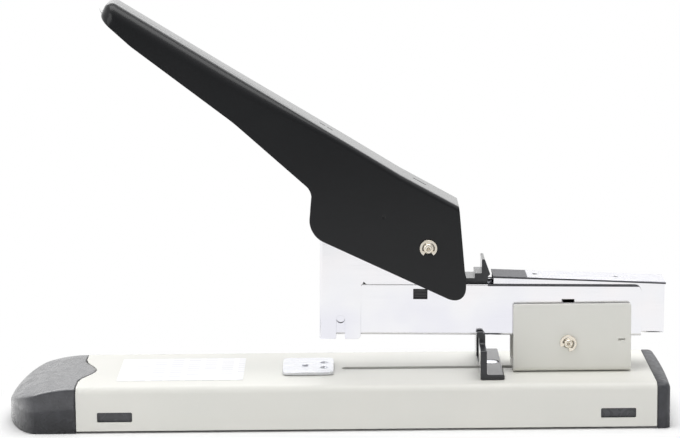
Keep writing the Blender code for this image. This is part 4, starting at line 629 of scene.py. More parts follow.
def cross_pin(radius, tip_radius, groove_radius, stack, centre):
    """A pin along Y with a groove at each end for a clip, a turned down tip and a drilled end."""
    groove_start = stack + GAP - GROOVE_GAP
    groove_end = stack + GAP + CLIP_THICKNESS + GROOVE_GAP
    end = groove_end + PIN_END
    half = [
        (0, end - 2 * PIN_DRILL),
        (PIN_DRILL, end - PIN_DRILL),
        (PIN_DRILL, end - GROOVE_GAP),
        (PIN_DRILL + GROOVE_GAP, end),
        (tip_radius - PIN_CHAMFER, end),
        (tip_radius, end - PIN_CHAMFER),
        (tip_radius, groove_end),
        (groove_radius, groove_end),
        (groove_radius, groove_start),
        (radius, groove_start),
    ]
    drawing = turned(half + [(r, -z) for r, z in reversed(half)])
    bmesh.ops.transform(
        drawing,
        matrix=Matrix.Translation(centre) @ TO_NEAR_SIDE,
        verts=drawing.verts,
    )
    return drawing


BRACKET_HALF_WIDTH = 0.0125
pin = cross_pin(0.0022, 0.00185, 0.0016, BRACKET_HALF_WIDTH, HEAD_PIVOT)
piece_from(pin, "head_pivot_pin", warm_zinc, "base", "zinc_steel", "bracket_pin")
for side in ("near", "far"):
    node = f"bracket_clip_{side}"
    eased(node, f"head_pin_clip_{side}", warm_zinc, "base", "zinc_steel", SMALL_EASE)
    node = f"pivot_washer_{side}"
    eased(node, f"spacer_washer_{side}", warm_zinc, "base", "zinc_steel", SMALL_EASE)

# Spring wire: oil tempered carbon steel, dark grey with fine draw lines along the wire
spring_wire, shader = new_material("tempered_wire", "#6E6F73", 0.34, Metallic=1.0)
where = add_node(spring_wire, "ShaderNodeTexCoord", {})
draw_lines = add_node(
    spring_wire,
    "ShaderNodeTexNoise",
    {"Vector": where.outputs["Object"], "Scale": 2200.0, "Detail": 2.0},
)
add_node(
    spring_wire,
    "ShaderNodeMapRange",
    {"Value": draw_lines.outputs["Fac"], "To Min": 0.26, "To Max": 0.44},
    ("Result", shader, "Roughness"),
)
TURN_POINTS = 28


def coil(radius, turns, length):
    """Points of a coil that climbs along its own Z."""
    count = round(turns * TURN_POINTS)
    return [
        Vector(
            (
                radius * math.cos(math.tau * turns * step / count),
                radius * math.sin(math.tau * turns * step / count),
                length * step / count,
            )
        )
        for step in range(count + 1)
    ]


def wire(name, points, diameter, node):
    """A round wire through the points, as a mesh that stands for a CAD spring."""
    curve = bpy.data.curves.new(name, "CURVE")
    curve.dimensions = "3D"
    curve.bevel_depth = diameter / 2
    curve.bevel_resolution = 3
    curve.use_fill_caps = True
    line = curve.splines.new("POLY")
    line.points.add(len(points) - 1)
    for point, place in zip(line.points, points):
        point.co = (*place, 1)
    drawn = bpy.data.objects.new(name + "_line", curve)
    bpy.context.scene.collection.objects.link(drawn)
    graph = bpy.context.evaluated_depsgraph_get()
    mesh = bpy.data.meshes.new_from_object(drawn.evaluated_get(graph))
    bpy.data.objects.remove(drawn)
    mesh.name = name
    mesh.materials.clear()
    mesh.materials.append(spring_wire)
    mesh.shade_smooth()
    spring = bpy.data.objects.new(name, mesh)
    bpy.context.scene.collection.objects.link(spring)
    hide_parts(node)
    return spring


LIFT_WIRE = 0.0010
LIFT_RADIUS = 0.0042
LIFT_TURNS = 6
low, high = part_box("head_return_spring")
foot = Vector(((low.x + high.x) / 2, 0, low.z + LIFT_WIRE / 2))
length = high.z - low.z - LIFT_WIRE
points = [foot + point for point in coil(LIFT_RADIUS, LIFT_TURNS, length)]
lift_spring = wire("lift_spring", points, LIFT_WIRE, "head_return_spring")
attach(lift_spring, "base")
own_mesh(lift_spring)


# Paper guide
# A sliding stop of black acetal with two ears, drawn against the base by a rivet that
# passes through the slot into a steel plate underneath.

# Moulded acetal: nearly black, smooth with a faint flow texture
black_acetal, shader = new_material(
    "black_acetal", "#2B2C2F", 0.40, Specular_IOR_Level=0.4, Coat_Weight=1.0, Coat_IOR=1.25
)
where = add_node(black_acetal, "ShaderNodeTexCoord", {})
flow = add_node(
    black_acetal,
    "ShaderNodeTexNoise",
    {"Vector": where.outputs["Object"], "Scale": 700.0, "Detail": 3.0},
)
add_node(
    black_acetal,
    "ShaderNodeBump",
    {"Height": flow.outputs["Fac"], "Strength": 0.5, "Distance": 0.00004},
    ("Normal", shader, "Normal"),
)
tint = add_node(
    black_acetal,
    "ShaderNodeValToRGB",
    {"Fac": flow.outputs["Fac"]},
    ("Color", shader, "Base Color"),
)
shade_between(tint, (0.3, "#28292C"), (0.7, "#303134"))
add_node(
    black_acetal,
    "ShaderNodeMapRange",
    {"Value": flow.outputs["Fac"], "To Min": 0.34, "To Max": 0.48},
    ("Result", shader, "Roughness"),
)
MOULD_EASE = 0.00025
eased("paper_guide", "guide_stop", black_acetal, "guide", "dark_plastic", MOULD_EASE)
eased("guide_retainer", "guide_plate", warm_zinc, "guide", "zinc_steel", PLATE_EASE)
low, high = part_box("guide_rivet")
rivet_x = (low.x + high.x) / 2
head_radius = (high.x - low.x) / 2
rivet = turned(
    [
        (0, high.z),
        (head_radius * 0.5, high.z - 0.00008),
        (head_radius * 0.85, high.z - 0.0003),
        (head_radius, high.z - 0.0008),
        (head_radius, high.z - 0.0010),
        (0.0018, high.z - 0.0010),
        (0.0018, low.z + 0.0010),
        (0.0030, low.z + 0.0010),
        (0.0030, low.z + 0.0004),
        (0.0025, low.z),
        (0, low.z),
    ]
)
bmesh.ops.translate(rivet, verts=rivet.verts, vec=(rivet_x, 0, 0))
piece_from(rivet, "guide_button", satin_nickel, "guide", "chrome", "guide_rivet")


# Head frame and driver tower
# The head is a U of cold rolled sheet that swings on the pivot pin, with the driver's
# housing folded round its front. Both are polished and chrome plated after welding.

# Chrome on rolled sheet: nearly a mirror, over sheet that is gently wavy, with fine
# polishing lines along the length
SHEET_WAVE = 0.030
bright_chrome, shader = new_material("bright_chrome", "#F4F4F8", 0.10, Metallic=1.0)
where = add_node(bright_chrome, "ShaderNodeTexCoord", {})
wave = add_node(
    bright_chrome,
    "ShaderNodeTexNoise",
    {"Vector": where.outputs["Object"], "Scale": 1 / SHEET_WAVE, "Detail": 2.0},
)
add_node(
    bright_chrome,
    "ShaderNodeBump",
    {"Height": wave.outputs["Fac"], "Strength": 1.0, "Distance": 0.0003},
    ("Normal", shader, "Normal"),
)
tint = add_node(
    bright_chrome,
    "ShaderNodeValToRGB",
    {"Fac": wave.outputs["Fac"]},
    ("Color", shader, "Base Color"),
)
shade_between(tint, (0.3, "#EEEEF5"), (0.5, "#F5F5F8"), (0.7, "#F9F6F7"))
stretch = add_node(
    bright_chrome,
    "ShaderNodeMapping",
    {"Vector": where.outputs["Object"], "Scale": (30.0, 1500.0, 1500.0)},
)
polish = add_node(
    bright_chrome,
    "ShaderNodeTexNoise",
    {"Vector": stretch.outputs["Vector"], "Scale": 1.0, "Detail": 2.0},
)
add_node(
    bright_chrome,
    "ShaderNodeMapRange",
    {"Value": polish.outputs["Fac"], "To Min": 0.08, "To Max": 0.20},
    ("Result", shader, "Roughness"),
)

# Painted shade: a dull dark grey, mottled a little, laid on thin strips along sheet edges to stand for
# the shadow in the narrow gaps beside them
painted_gap_shade, shader = new_material("painted_gap_shade", "#56565A", 0.55, Metallic=0.6)
where = add_node(painted_gap_shade, "ShaderNodeTexCoord", {})
shade_mottle = add_node(
    painted_gap_shade,
    "ShaderNodeTexNoise",
    {"Vector": where.outputs["Object"], "Scale": 900.0, "Detail": 2.0},
)
tint = add_node(
    painted_gap_shade,
    "ShaderNodeValToRGB",
    {"Fac": shade_mottle.outputs["Fac"]},
    ("Color", shader, "Base Color"),
)
shade_between(tint, (0.3, "#4C4C50"), (0.7, "#606064"))

HEAD_TILT = math.radians(0.82)
HEAD_TURN = (
    Matrix.Translation(HEAD_PIVOT)
    @ Matrix.Rotation(HEAD_TILT, 4, "Y")
    @ Matrix.Translation(-HEAD_PIVOT)
)
FRAME_TOP = 0.0584
# Painted shade strip along the frame's top edge: its height, and where it starts behind the latch
FRAME_SHADE_STRIP = 0.0007
SHADE_STRIP_FRONT = 0.0663
HOLE_PLACE = Vector((0.00175, 0, 0.04265))
HOLE_RADIUS = 0.00185
DENT_PLACE = Vector((0.0116, 0, 0.0584))
DENT_SIZE = Vector((0.0012, 0.0004, 0.0005))
DENT_TURN = math.radians(-22)
DENT_SIDES = 24
DENT_RINGS = 12
TOWER_HALF_WIDTH = 0.0106


def paint_gap_shade(piece, place, normal, front):
    """Paints shade on the part of a piece beyond a slanted plane, behind a front plane, for a shadowed
    gap.
    """
    drawing = bmesh.new()
    drawing.from_mesh(piece.data)
    front_place = HEAD_TURN @ Vector((front, 0, place.z))
    along = HEAD_TURN.to_3x3() @ Vector((1, 0, 0))
    place = HEAD_TURN @ place
    normal = HEAD_TURN.to_3x3() @ normal
    for point, direction in ((place, normal), (front_place, along)):
        geometry = drawing.verts[:] + drawing.edges[:] + drawing.faces[:]
        bmesh.ops.bisect_plane(
            drawing,
            geom=geometry,
            dist=MERGE,
            plane_co=point,
            plane_no=direction,
        )
    for face in drawing.faces:
        middle = face.calc_center_median()
        if (middle - place).dot(normal) > 0 and (middle - front_place).dot(along) > 0:
            face.material_index = 1
    drawing.to_mesh(piece.data)
    drawing.free()
    piece.data.materials.append(painted_gap_shade)


def cut_out(piece, tool_drawing):
    """Cuts a drawing out of a piece."""
    mesh = bpy.data.meshes.new("tool")
    tool_drawing.to_mesh(mesh)
    tool_drawing.free()
    tool = bpy.data.objects.new("tool", mesh)
    bpy.context.scene.collection.objects.link(tool)
    cut = piece.modifiers.new("cut", "BOOLEAN")
    cut.operation = "DIFFERENCE"
    cut.solver = "EXACT"
    cut.object = tool
    baked(piece)
    bpy.data.objects.remove(tool)
    return piece


def through_holes():
    """A drawing of the round holes through both sides of the head, at the keyhole's top."""
    holes = bmesh.new()
    bmesh.ops.create_cone(
        holes,
        cap_ends=True,
        segments=PIN_SIDES,
        radius1=HOLE_RADIUS,
        radius2=HOLE_RADIUS,
        depth=3 * TOWER_HALF_WIDTH,
        matrix=HEAD_TURN @ Matrix.Translation(HOLE_PLACE) @ TO_NEAR_SIDE,
    )
    return holes


head_channel = eased("head_frame", "head_channel", bright_chrome, "head", "chrome", PLATE_EASE)
cut_out(head_channel, through_holes())
up = Vector((0, 0, 1))
# Painted shade along the frame's top edge behind the latch, for the shadowed gap between frame and
# channel
paint_gap_shade(head_channel, Vector((0, 0, FRAME_TOP - FRAME_SHADE_STRIP)), up, SHADE_STRIP_FRONT)
housing = eased("tower", "driver_housing", bright_chrome, "head", "chrome", PLATE_EASE)
cut_out(housing, through_holes())
dents = bmesh.new()
for turn in (-1, 1):
    place = DENT_PLACE + Vector((0, turn * TOWER_HALF_WIDTH, 0))
    spin = Matrix.Rotation(DENT_TURN, 4, "Y")
    bmesh.ops.create_uvsphere(
        dents,
        u_segments=DENT_SIDES,
        v_segments=DENT_RINGS,
        radius=1,
        matrix=HEAD_TURN @ Matrix.Translation(place) @ spin @ Matrix.Diagonal((*DENT_SIZE, 1)),
    )
cut_out(housing, dents)


# Driver
# A steel block that hooks round the lever's drive pin, with the blade that pushes one
# staple riveted to its front.

# Hardened steel, ground and lightly oiled: grey, with grinding lines along the stroke
ground_steel, shader = new_material("ground_steel", "#9A9B9E", 0.30, Metallic=1.0)
where = add_node(ground_steel, "ShaderNodeTexCoord", {})
stretch = add_node(
    ground_steel,
    "ShaderNodeMapping",
    {"Vector": where.outputs["Object"], "Scale": (1500.0, 1500.0, 60.0)},
)
grind = add_node(
    ground_steel,
    "ShaderNodeTexNoise",
    {"Vector": stretch.outputs["Vector"], "Scale": 1.0, "Detail": 3.0},
)
add_node(
    ground_steel,
    "ShaderNodeMapRange",
    {"Value": grind.outputs["Fac"], "To Min": 0.22, "To Max": 0.42},
    ("Result", shader, "Roughness"),
)
add_node(
    ground_steel,
    "ShaderNodeBump",
    {"Height": grind.outputs["Fac"], "Strength": 0.3, "Distance": 0.00001},
    ("Normal", shader, "Normal"),
)
eased("plunger", "driver_block", ground_steel, "driver", "zinc_steel", PLATE_EASE)
eased("driver_blade", "staple_blade", ground_steel, "driver", "zinc_steel", SMALL_EASE)
for place in ("low", "high"):
    node = f"driver_rivet_{place}"
    eased(node, f"blade_rivet_{place}", warm_zinc, "driver", "zinc_steel", SMALL_EASE)


# Magazine
# An inner channel with the staple rail, closed behind the latch by a folded cover and an
# end plate. The follower runs on a rod and is pushed forward by a long spring.

THIN_EASE = 0.00012

# Satin chrome on the cover: brushed along its length, so it shows a soft grey sheen
satin_chrome, shader = new_material("satin_chrome", "#DCDCE1", 0.28, Metallic=1.0)
where = add_node(satin_chrome, "ShaderNodeTexCoord", {})
stretch = add_node(
    satin_chrome,
    "ShaderNodeMapping",
    {"Vector": where.outputs["Object"], "Scale": (40.0, 1400.0, 1400.0)},
)
brush = add_node(
    satin_chrome,
    "ShaderNodeTexNoise",
    {"Vector": stretch.outputs["Vector"], "Scale": 1.0, "Detail": 3.0},
)
add_node(
    satin_chrome,
    "ShaderNodeMapRange",
    {"Value": brush.outputs["Fac"], "To Min": 0.20, "To Max": 0.36},
    ("Result", shader, "Roughness"),
)
tint = add_node(
    satin_chrome,
    "ShaderNodeValToRGB",
    {"Fac": brush.outputs["Fac"]},
    ("Color", shader, "Base Color"),
)
shade_between(tint, (0.3, "#D6D6DD"), (0.7, "#E2E2E6"))
eased("magazine_channel", "staple_channel", bright_chrome, "magazine", "chrome", THIN_EASE)
COVER_FRONT = Vector((0.0685, 0, 0.0615))
COVER_REAR = Vector((0.1444, 0, 0.0589))
# Height of the painted shade strip along the cover skirt's lower edge
SKIRT_SHADE_STRIP = Vector((0, 0, 0.0007))
cover = eased("magazine_cover", "channel_cover", satin_chrome, "magazine", "chrome", THIN_EASE)
slope = (COVER_REAR - COVER_FRONT).normalized()
below = Vector((slope.z, 0, -slope.x))
# Painted shade along the lower edge of the cover's skirt, for the shadowed gap under it
paint_gap_shade(cover, COVER_FRONT + SKIRT_SHADE_STRIP, below, COVER_FRONT.x)
eased("staple_rail", "inner_rail", ground_steel, "magazine", "zinc_steel", THIN_EASE)
eased("magazine_end_plate", "end_plate", warm_zinc, "magazine", "zinc_steel", THIN_EASE)
eased("follower_rod", "follower_guide_rod", ground_steel, "magazine", "zinc_steel", SMALL_EASE)
eased("follower", "staple_pusher", ground_steel, "pusher", "zinc_steel", THIN_EASE)

FEED_START = 0.0167
FEED_END = 0.1403
FEED_HEIGHT = 0.0545
FEED_RADIUS = 0.0022
FEED_WIRE = 0.0008
FEED_TURNS = 22
lie = Matrix.Translation((FEED_START, 0, FEED_HEIGHT)) @ Matrix.Rotation(math.pi / 2, 4, "Y")
points = [HEAD_TURN @ lie @ p for p in coil(FEED_RADIUS, FEED_TURNS, FEED_END - FEED_START)]
feed_spring = wire("feed_spring", points, FEED_WIRE, "follower_spring")
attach(feed_spring, "pusher")
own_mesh(feed_spring)


# Latch
# A black acetal catch on top of the magazine. Its ribbed lugs snap into windows of the
# frame, and the fin at its rear is pressed with a thumb to let the magazine go.

LUG_LOW_X = 0.0339
LUG_HIGH_X = 0.0395
LUG_FACE = 0.0079
RIB_RISE = 0.00025
RIB_HEIGHT = 0.0010
RIB_LEVELS = (0.0522, 0.0536, 0.0550)
latch = copy_of("latch")
break_edges(latch, THIN_EASE)
ribs = bmesh.new()
for level in RIB_LEVELS:
    block(
        ribs,
        (LUG_LOW_X, -LUG_FACE - RIB_RISE, level),
        (LUG_HIGH_X, LUG_FACE + RIB_RISE, level + RIB_HEIGHT),
    )
break_edges(ribs, THIN_EASE)
bmesh.ops.transform(ribs, matrix=HEAD_TURN, verts=ribs.verts)
piece_from(latch, "magazine_catch", black_acetal, "catch", "dark_plastic", "latch")
piece_from(ribs, "catch_ribs", black_acetal, "catch", "dark_plastic")


# Lever
# A long press-formed cover of steel sheet with a rolled top edge and a round tip, stove
# enamelled black. A zinc plated core is staked into slots in its top.

LEVER_PIVOT = Vector((0.0399, 0.0, 0.0753))
LEVER_OPEN = math.radians(24.6)
LEVER_TURN = HEAD_TURN @ Matrix.Translation(LEVER_PIVOT) @ Matrix.Rotation(LEVER_OPEN, 4, "Y")
LEVER_HALF_WIDTH = 0.0135
LEVER_WALL = 0.0015
LEVER_TIP_X = -0.1714
GRIP_ROUND = 0.0070
BODY_ROUND = 0.0025
GRIP_X = -0.1200
BODY_X = -0.0446
ROUND_STEPS = 8
TOP_CUTS = 40
CORNER_STEP = math.radians(9)

# Corners of the closed lever's side about its pin: place and radius, in metres
LEVER_SIDE = (
    (-0.1714, 0.0311, 0.0025),
    (-0.1541, 0.0258, 0.0300),
    (-0.0999, 0.0142, 0.0600),
    (-0.0566, 0.0013, 0.0060),
    (-0.0500, -0.0169, 0.0100),
    (0.0271, -0.0169, 0.0059),
    (0.00454, 0.02208, 0.0),
    (-0.0247, 0.0240, 0.0),
    (-0.1714, 0.0403, 0.0040),
)


def rounded_side(corners):
    """A drawing of a flat side in X and Z, with each corner rounded by a vertex bevel."""
    drawing = bmesh.new()
    places = [Vector((x, 0, z)) for x, z, _ in corners]
    verts = [drawing.verts.new(place) for place in places]
    drawing.faces.new(verts)
    for index, (vert, (_, _, radius)) in enumerate(zip(verts, corners)):
        if not radius:
            continue
        before = places[index - 1] - places[index]
        after = places[(index + 1) % len(places)] - places[index]
        between = before.angle(after)
        setback = radius / math.tan(between / 2)
        bmesh.ops.bevel(
            drawing,
            geom=[vert],
            offset=min(setback, before.length / 2, after.length / 2),
            offset_type="OFFSET",
            affect="VERTICES",
            segments=max(2, round((math.pi - between) / CORNER_STEP)),
            profile=0.5,
            material=-1,
            clamp_overlap=False,
        )
    return drawing


def lever_top(x):
    """Height of the closed lever's top edge over its pin."""
    (rear_x, rear_z, _), (knee_x, knee_z, _), (tip_x, tip_z, _) = LEVER_SIDE[6:]
    if x > knee_x:
        return rear_z + (knee_z - rear_z) * (x - rear_x) / (knee_x - rear_x)
    return knee_z + (tip_z - knee_z) * (x - knee_x) / (tip_x - knee_x)


def edge_round(x):
    """Radius of the rolled edge, which grows towards the grip."""
    share = min(max((x - BODY_X) / (GRIP_X - BODY_X), 0), 1)
    return BODY_ROUND + (GRIP_ROUND - BODY_ROUND) * share * share * (3 - 2 * share)


def rolled_to(place):
    """Where the rolled edge of an outline point comes down to on the lever's side."""
    tip_spine = LEVER_TIP_X + GRIP_ROUND
    x = max(place.x, tip_spine)
    level = lever_top(x) - edge_round(x)
    (tip_x, tip_z, corner), (_, under_z, _) = LEVER_SIDE[:2]
    slope = (tip_z - under_z) / (LEVER_SIDE[1][0] - tip_x)
    under_share = min(max((tip_z + corner - place.z) / corner, 0), 1)
    drop = slope * (tip_spine - place.x) if place.x < tip_spine else 0
    return Vector((x, 0, min(place.z, level) - drop * under_share))


side = rounded_side(LEVER_SIDE)
rear_x, rear_z, _ = LEVER_SIDE[6]
long_top = [e for e in side.edges if all(v.co.z > lever_top(v.co.x) - MERGE for v in e.verts)]
bmesh.ops.subdivide_edges(side, edges=[max(long_top, key=lambda e: e.calc_length())], cuts=TOP_CUTS)
outline = {v: v.co.copy() for v in side.verts}


def is_rolled(place):
    """Whether an outline point lies on the top or the tip, where the edge is rolled."""
    on_top = place.z > lever_top(place.x) - MERGE
    return on_top or place.x < LEVER_SIDE[8][0] + LEVER_SIDE[8][2]


rolled_edges = [e for e in side.edges if all(is_rolled(outline[v]) for v in e.verts)]
rolled = {v for e in rolled_edges for v in e.verts}
full = {v: rolled_to(outline[v]) if v in rolled else outline[v] for v in side.verts}
rear_slope = Vector((LEVER_SIDE[5][0] - rear_x, 0, LEVER_SIDE[5][1] - rear_z)).normalized()
for vert, place in outline.items():
    if (place - Vector((rear_x, 0, rear_z))).length < MERGE:
        full[vert] = place + rear_slope * edge_round(place.x)
loop = {v: (outline[v], full[v]) for v in rolled}
for vert in side.verts:
    vert.co = full[vert] + Vector((0, LEVER_HALF_WIDTH, 0))
edges = rolled_edges
for step in range(ROUND_STEPS - 1, -2, -1):
    drawn = bmesh.ops.extrude_edge_only(side, edges=edges)["geom"]
    fresh = [g for g in drawn if isinstance(g, bmesh.types.BMVert)]
    edges = [g for g in drawn if isinstance(g, bmesh.types.BMEdge)]
    edges = [e for e in edges if all(v in set(fresh) for v in e.verts)]
    next_loop = {}
    for vert in fresh:
        before = next(e.other_vert(vert) for e in vert.link_edges if e.other_vert(vert) in loop)
        place, inner = loop[before]
        next_loop[vert] = (place, inner)
        angle = math.pi / 2 * max(step, 0) / ROUND_STEPS
        radius = edge_round(place.x)
        y = LEVER_HALF_WIDTH - radius * (1 - math.sin(angle))
        vert.co = place.lerp(inner, 1 - math.cos(angle))
        vert.co.y = 0 if step < 0 else y
    loop = next_loop
bmesh.ops.mirror(side, geom=side.verts[:] + side.edges[:] + side.faces[:], axis="Y", merge_dist=MERGE)
bmesh.ops.remove_doubles(side, verts=side.verts, dist=MERGE)
bmesh.ops.recalc_face_normals(side, faces=side.faces)
bmesh.ops.transform(side, matrix=LEVER_TURN, verts=side.verts)

# Stoved enamel: near black and satin, with a fine peel; the rolled edge catches the light
black_enamel, shader = new_material(
    "black_enamel", "#17181A", 0.30, Specular_IOR_Level=0.2, Coat_Weight=1.0, Coat_IOR=1.22
)
shader.inputs["Coat Roughness"].default_value = 0.15
where = add_node(black_enamel, "ShaderNodeTexCoord", {})
cloud = add_node(
    black_enamel,
    "ShaderNodeTexNoise",
    {"Vector": where.outputs["Object"], "Scale": 24.0, "Detail": 3.0},
)
tint = add_node(
    black_enamel,
    "ShaderNodeValToRGB",
    {"Fac": cloud.outputs["Fac"]},
    ("Color", shader, "Base Color"),
)
shade_between(tint, (0.3, "#161719"), (0.7, "#1A1B1D"))
peel = add_node(
    black_enamel,
    "ShaderNodeTexNoise",
    {"Vector": where.outputs["Object"], "Scale": 1 / PEEL_WIDTH, "Detail": 1.0},
)
add_node(
    black_enamel,
    "ShaderNodeBump",
    {"Height": peel.outputs["Fac"], "Strength": 0.35, "Distance": PEEL_HEIGHT},
    ("Normal", shader, "Normal"),
)
add_node(
    black_enamel,
    "ShaderNodeMapRange",
    {"Value": cloud.outputs["Fac"], "To Min": 0.26, "To Max": 0.36},
    ("Result", shader, "Roughness"),
)

lever = piece_from(side, "lever_cover", black_enamel, "lever", "lever_paint", "handle_shell")
with_wall(lever, LEVER_WALL)


# Slots for the core's tabs: ends and half width, and the pin's hole and a locating dimple
LEVER_SLOTS = ((-0.06542, -0.06282), (-0.06162, -0.05902), (-0.01794, -0.01154))
SLOT_HALF_WIDTH = 0.0007
DIMPLE = Vector((-0.0234, 0, 0.00435))
DIMPLE_RADIUS = 0.0013
DIMPLE_DEPTH = 0.0004
DIMPLE_SIDES = 24
DIMPLE_RINGS = 16
PIN_HOLE_RADIUS = 0.0026
punches = bmesh.new()
for slot_low, slot_high in LEVER_SLOTS:
    block(
        punches,
        (slot_low, -SLOT_HALF_WIDTH, lever_top(slot_high) - 2 * LEVER_WALL),
        (slot_high, SLOT_HALF_WIDTH, lever_top(slot_low) + LEVER_WALL),
    )
bmesh.ops.create_cone(
    punches,
    cap_ends=True,
    segments=PIN_SIDES,
    radius1=PIN_HOLE_RADIUS,
    radius2=PIN_HOLE_RADIUS,
    depth=3 * LEVER_HALF_WIDTH,
    matrix=TO_NEAR_SIDE,
)
for turn in (-1, 1):
    bmesh.ops.create_uvsphere(
        punches,
        u_segments=DIMPLE_SIDES,
        v_segments=DIMPLE_RINGS,
        radius=DIMPLE_RADIUS,
        matrix=Matrix.Translation(
            DIMPLE + Vector((0, turn * (LEVER_HALF_WIDTH + DIMPLE_RADIUS - DIMPLE_DEPTH), 0))
        ),
    )
bmesh.ops.transform(punches, matrix=LEVER_TURN, verts=punches.verts)
cut_out(lever, punches)
ease_edges(lever, SHEET_EASE)

eased("handle_core", "lever_core", warm_zinc, "lever", "zinc_steel", PLATE_EASE)
eased("drive_pin", "lever_drive_pin", ground_steel, "lever", "zinc_steel", PLATE_EASE)
pin = cross_pin(0.0025, 0.0021, 0.0019, LEVER_HALF_WIDTH, HEAD_TURN @ LEVER_PIVOT)
piece_from(pin, "lever_pin", warm_zinc, "head", "zinc_steel", "handle_pin")
for side_name in ("near", "far"):
    node = f"handle_clip_{side_name}"
    eased(node, f"lever_pin_clip_{side_name}", warm_zinc, "head", "zinc_steel", SMALL_EASE)

OPEN_WIRE = 0.0012
OPEN_RADIUS = 0.0044
OPEN_TURNS = 5
OPEN_LENGTH = 0.0100
OPEN_LEG = Vector((-0.0150, 0, 0.01955))
OPEN_FOOT = Vector((0.0470, 0.0087, 0.0593))
about_pin = Matrix.Translation(LEVER_PIVOT) @ Matrix.Rotation(-math.pi / 2, 4, "X")
start = Matrix.Translation((0, 0, -OPEN_LENGTH / 2))
points = [HEAD_TURN @ about_pin @ start @ p for p in coil(OPEN_RADIUS, OPEN_TURNS, OPEN_LENGTH)]
leg = LEVER_TURN @ OPEN_LEG
leg.y = points[0].y
points = [leg] + points + [HEAD_TURN @ OPEN_FOOT]
lever_spring = wire("lever_spring", points, OPEN_WIRE, "handle_spring")
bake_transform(lever_spring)


# Studio
# A sheet of white paper under a long soft lamp, with even light all round. The room in
# front of the paper is darker, and its backdrop is white.

PAPER_FRONT = -0.60
PAPER_SIDE = 4.0
PAPER_DROP = 0.0002
SHADOW_REACH = 0.012
ROOM_LEVEL = 0.45
ROOM_FRONT_LEVEL = 0.35

paper = bmesh.new()
bmesh.ops.create_grid(paper, x_segments=1, y_segments=1, size=PAPER_SIDE)
for vert in paper.verts:
    vert.co.y = max(vert.co.y, PAPER_FRONT)
bmesh.ops.translate(paper, verts=paper.verts, vec=(0, 0, -PAPER_DROP))
paper_mesh = bpy.data.meshes.new("paper")
paper.to_mesh(paper_mesh)
paper.free()
paper = bpy.data.objects.new("paper", paper_mesh)
bpy.context.scene.collection.objects.link(paper)

# Matt white paper. Away from the base it shows as the plain white of the backdrop, and near
# the base it is lit as it is, so that it keeps the shadow
white_paper = bpy.data.materials.new("white_paper")
white_paper.use_nodes = True
white_paper.node_tree.nodes.clear()
matt = add_node(white_paper, "ShaderNodeBsdfDiffuse", {"Color": linear("#F6F6F6")})
glow = add_node(white_paper, "ShaderNodeEmission", {"Color": (1, 1, 1, 1), "Strength": 1.0})
path = add_node(white_paper, "ShaderNodeLightPath", {})


def seen_directly(material, path):
    """One for camera, glossy and transmission rays, and nothing for the light itself."""
    seen = add_node(
        material,
        "ShaderNodeMath",
        {0: path.outputs["Is Camera Ray"], 1: path.outputs["Is Glossy Ray"]},
        operation="ADD",
    )
    return add_node(
        material,
        "ShaderNodeMath",
        {0: seen.outputs["Value"], 1: path.outputs["Is Transmission Ray"]},
        operation="ADD",
        use_clamp=True,
    )


where = add_node(white_paper, "ShaderNodeTexCoord", {})
folded = add_node(
    white_paper,
    "ShaderNodeVectorMath",
    {0: where.outputs["Object"]},
    operation="ABSOLUTE",
)
beyond = add_node(
    white_paper,
    "ShaderNodeVectorMath",
    {0: folded.outputs["Vector"], 1: (BASE_REAR, HALF_WIDTH, 0.0)},
    operation="SUBTRACT",
)
outside = add_node(
    white_paper,
    "ShaderNodeVectorMath",
    {0: beyond.outputs["Vector"], 1: (0.0, 0.0, 0.0)},
    operation="MAXIMUM",
)
distance = add_node(
    white_paper,
    "ShaderNodeVectorMath",
    {0: outside.outputs["Vector"]},
    operation="LENGTH",
)
away = add_node(
    white_paper,
    "ShaderNodeMapRange",
    {"Value": distance.outputs["Value"], "From Max": SHADOW_REACH},
)
seen = seen_directly(white_paper, path)
share = add_node(
    white_paper,
    "ShaderNodeMath",
    {0: seen.outputs["Value"], 1: away.outputs["Result"]},
    operation="MULTIPLY",
)
mixed = add_node(
    white_paper,
    "ShaderNodeMixShader",
    {0: share.outputs["Value"], 1: matt.outputs["BSDF"], 2: glow.outputs["Emission"]},
)
add_node(white_paper, "ShaderNodeOutputMaterial", {"Surface": mixed.outputs["Shader"]})
paper_mesh.materials.append(white_paper)

world = bpy.data.worlds.new("studio")
bpy.context.scene.world = world
world.use_nodes = True
world.node_tree.nodes.clear()
path = add_node(world, "ShaderNodeLightPath", {})
seen = seen_directly(world, path)
towards = add_node(world, "ShaderNodeTexCoord", {})
axes = add_node(world, "ShaderNodeSeparateXYZ", {"Vector": towards.outputs["Generated"]})
room = add_node(
    world,
    "ShaderNodeMapRange",
    {
        "Value": axes.outputs["Y"],
        "From Min": -0.9,
        "From Max": -0.2,
        "To Min": ROOM_FRONT_LEVEL,
        "To Max": 1.0,
    },
)
backdrop = add_node(
    world,
    "ShaderNodeMath",
    {0: room.outputs["Result"], 1: path.outputs["Is Camera Ray"]},
    operation="MAXIMUM",
)
soft = add_node(world, "ShaderNodeBackground", {"Color": (1, 1, 1, 1), "Strength": ROOM_LEVEL})
white = add_node(
    world,
    "ShaderNodeBackground",
    {"Color": (1, 1, 1, 1), "Strength": backdrop.outputs["Value"]},
)
mixed = add_node(
    world,
    "ShaderNodeMixShader",
    {0: seen.outputs["Value"], 1: soft.outputs["Background"], 2: white.outputs["Background"]},
)
add_node(world, "ShaderNodeOutputWorld", {"Surface": mixed.outputs["Shader"]})

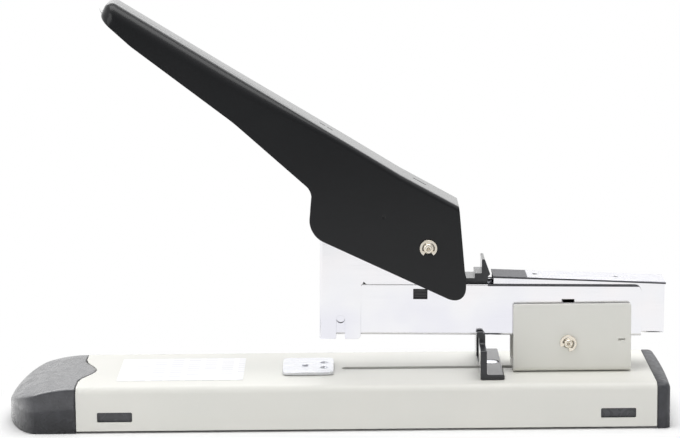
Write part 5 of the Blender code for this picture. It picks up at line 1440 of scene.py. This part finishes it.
# Name, place, aim, length, depth and power of each soft lamp
LAMPS = (
    ("overhead_lamp", (0.0, -0.12, 1.15), (0.0, 0.0, 0.05), 1.3, 0.6, 8.0),
    ("back_lamp", (0.0, 0.8, 0.75), (0.0, 0.0, 0.02), 1.3, 0.5, 5.0),
    ("left_lamp", (-1.0, -0.9, 0.6), (0.0, 0.0, 0.08), 0.7, 0.7, 3.0),
)
for name, place, aim, lamp_length, lamp_depth, power in LAMPS:
    lamp = bpy.data.lights.new(name, "AREA")
    lamp.shape = "RECTANGLE"
    lamp.size = lamp_length
    lamp.size_y = lamp_depth
    lamp.energy = power
    holder = bpy.data.objects.new(name, lamp)
    holder.location = place
    holder.rotation_mode = "QUATERNION"
    holder.rotation_quaternion = (Vector(aim) - Vector(place)).to_track_quat("-Z", "Y")
    bpy.context.scene.collection.objects.link(holder)

# The photograph's viewpoint: nearly square to the side, a little above it, through a long lens
CAMERA_TARGET = Vector((0.00205, 0.0, 0.08718))
CAMERA_DISTANCE = 1.2013
CAMERA_AZIMUTH = math.radians(0.139)
CAMERA_ELEVATION = math.radians(9.605)
CAMERA_ROLL = math.radians(-0.575)
CAMERA_LENS = 144.46
back = Vector(
    (
        math.sin(CAMERA_AZIMUTH) * math.cos(CAMERA_ELEVATION),
        -math.cos(CAMERA_AZIMUTH) * math.cos(CAMERA_ELEVATION),
        math.sin(CAMERA_ELEVATION),
    )
)
right = (-back).cross(Vector((0, 0, 1))).normalized()
up = right.cross(-back)
roll_right = right * math.cos(CAMERA_ROLL) + up * math.sin(CAMERA_ROLL)
roll_up = up * math.cos(CAMERA_ROLL) - right * math.sin(CAMERA_ROLL)
camera = bpy.data.objects.new("camera", bpy.data.cameras.new("camera"))
camera.data.lens = CAMERA_LENS
camera.data.sensor_width = 36.0
turn = Matrix((roll_right, roll_up, back)).transposed()
camera.matrix_world = Matrix.Translation(CAMERA_TARGET + back * CAMERA_DISTANCE) @ turn.to_4x4()
bpy.context.scene.collection.objects.link(camera)
bpy.context.scene.camera = camera
bpy.context.scene.view_settings.view_transform = "Standard"
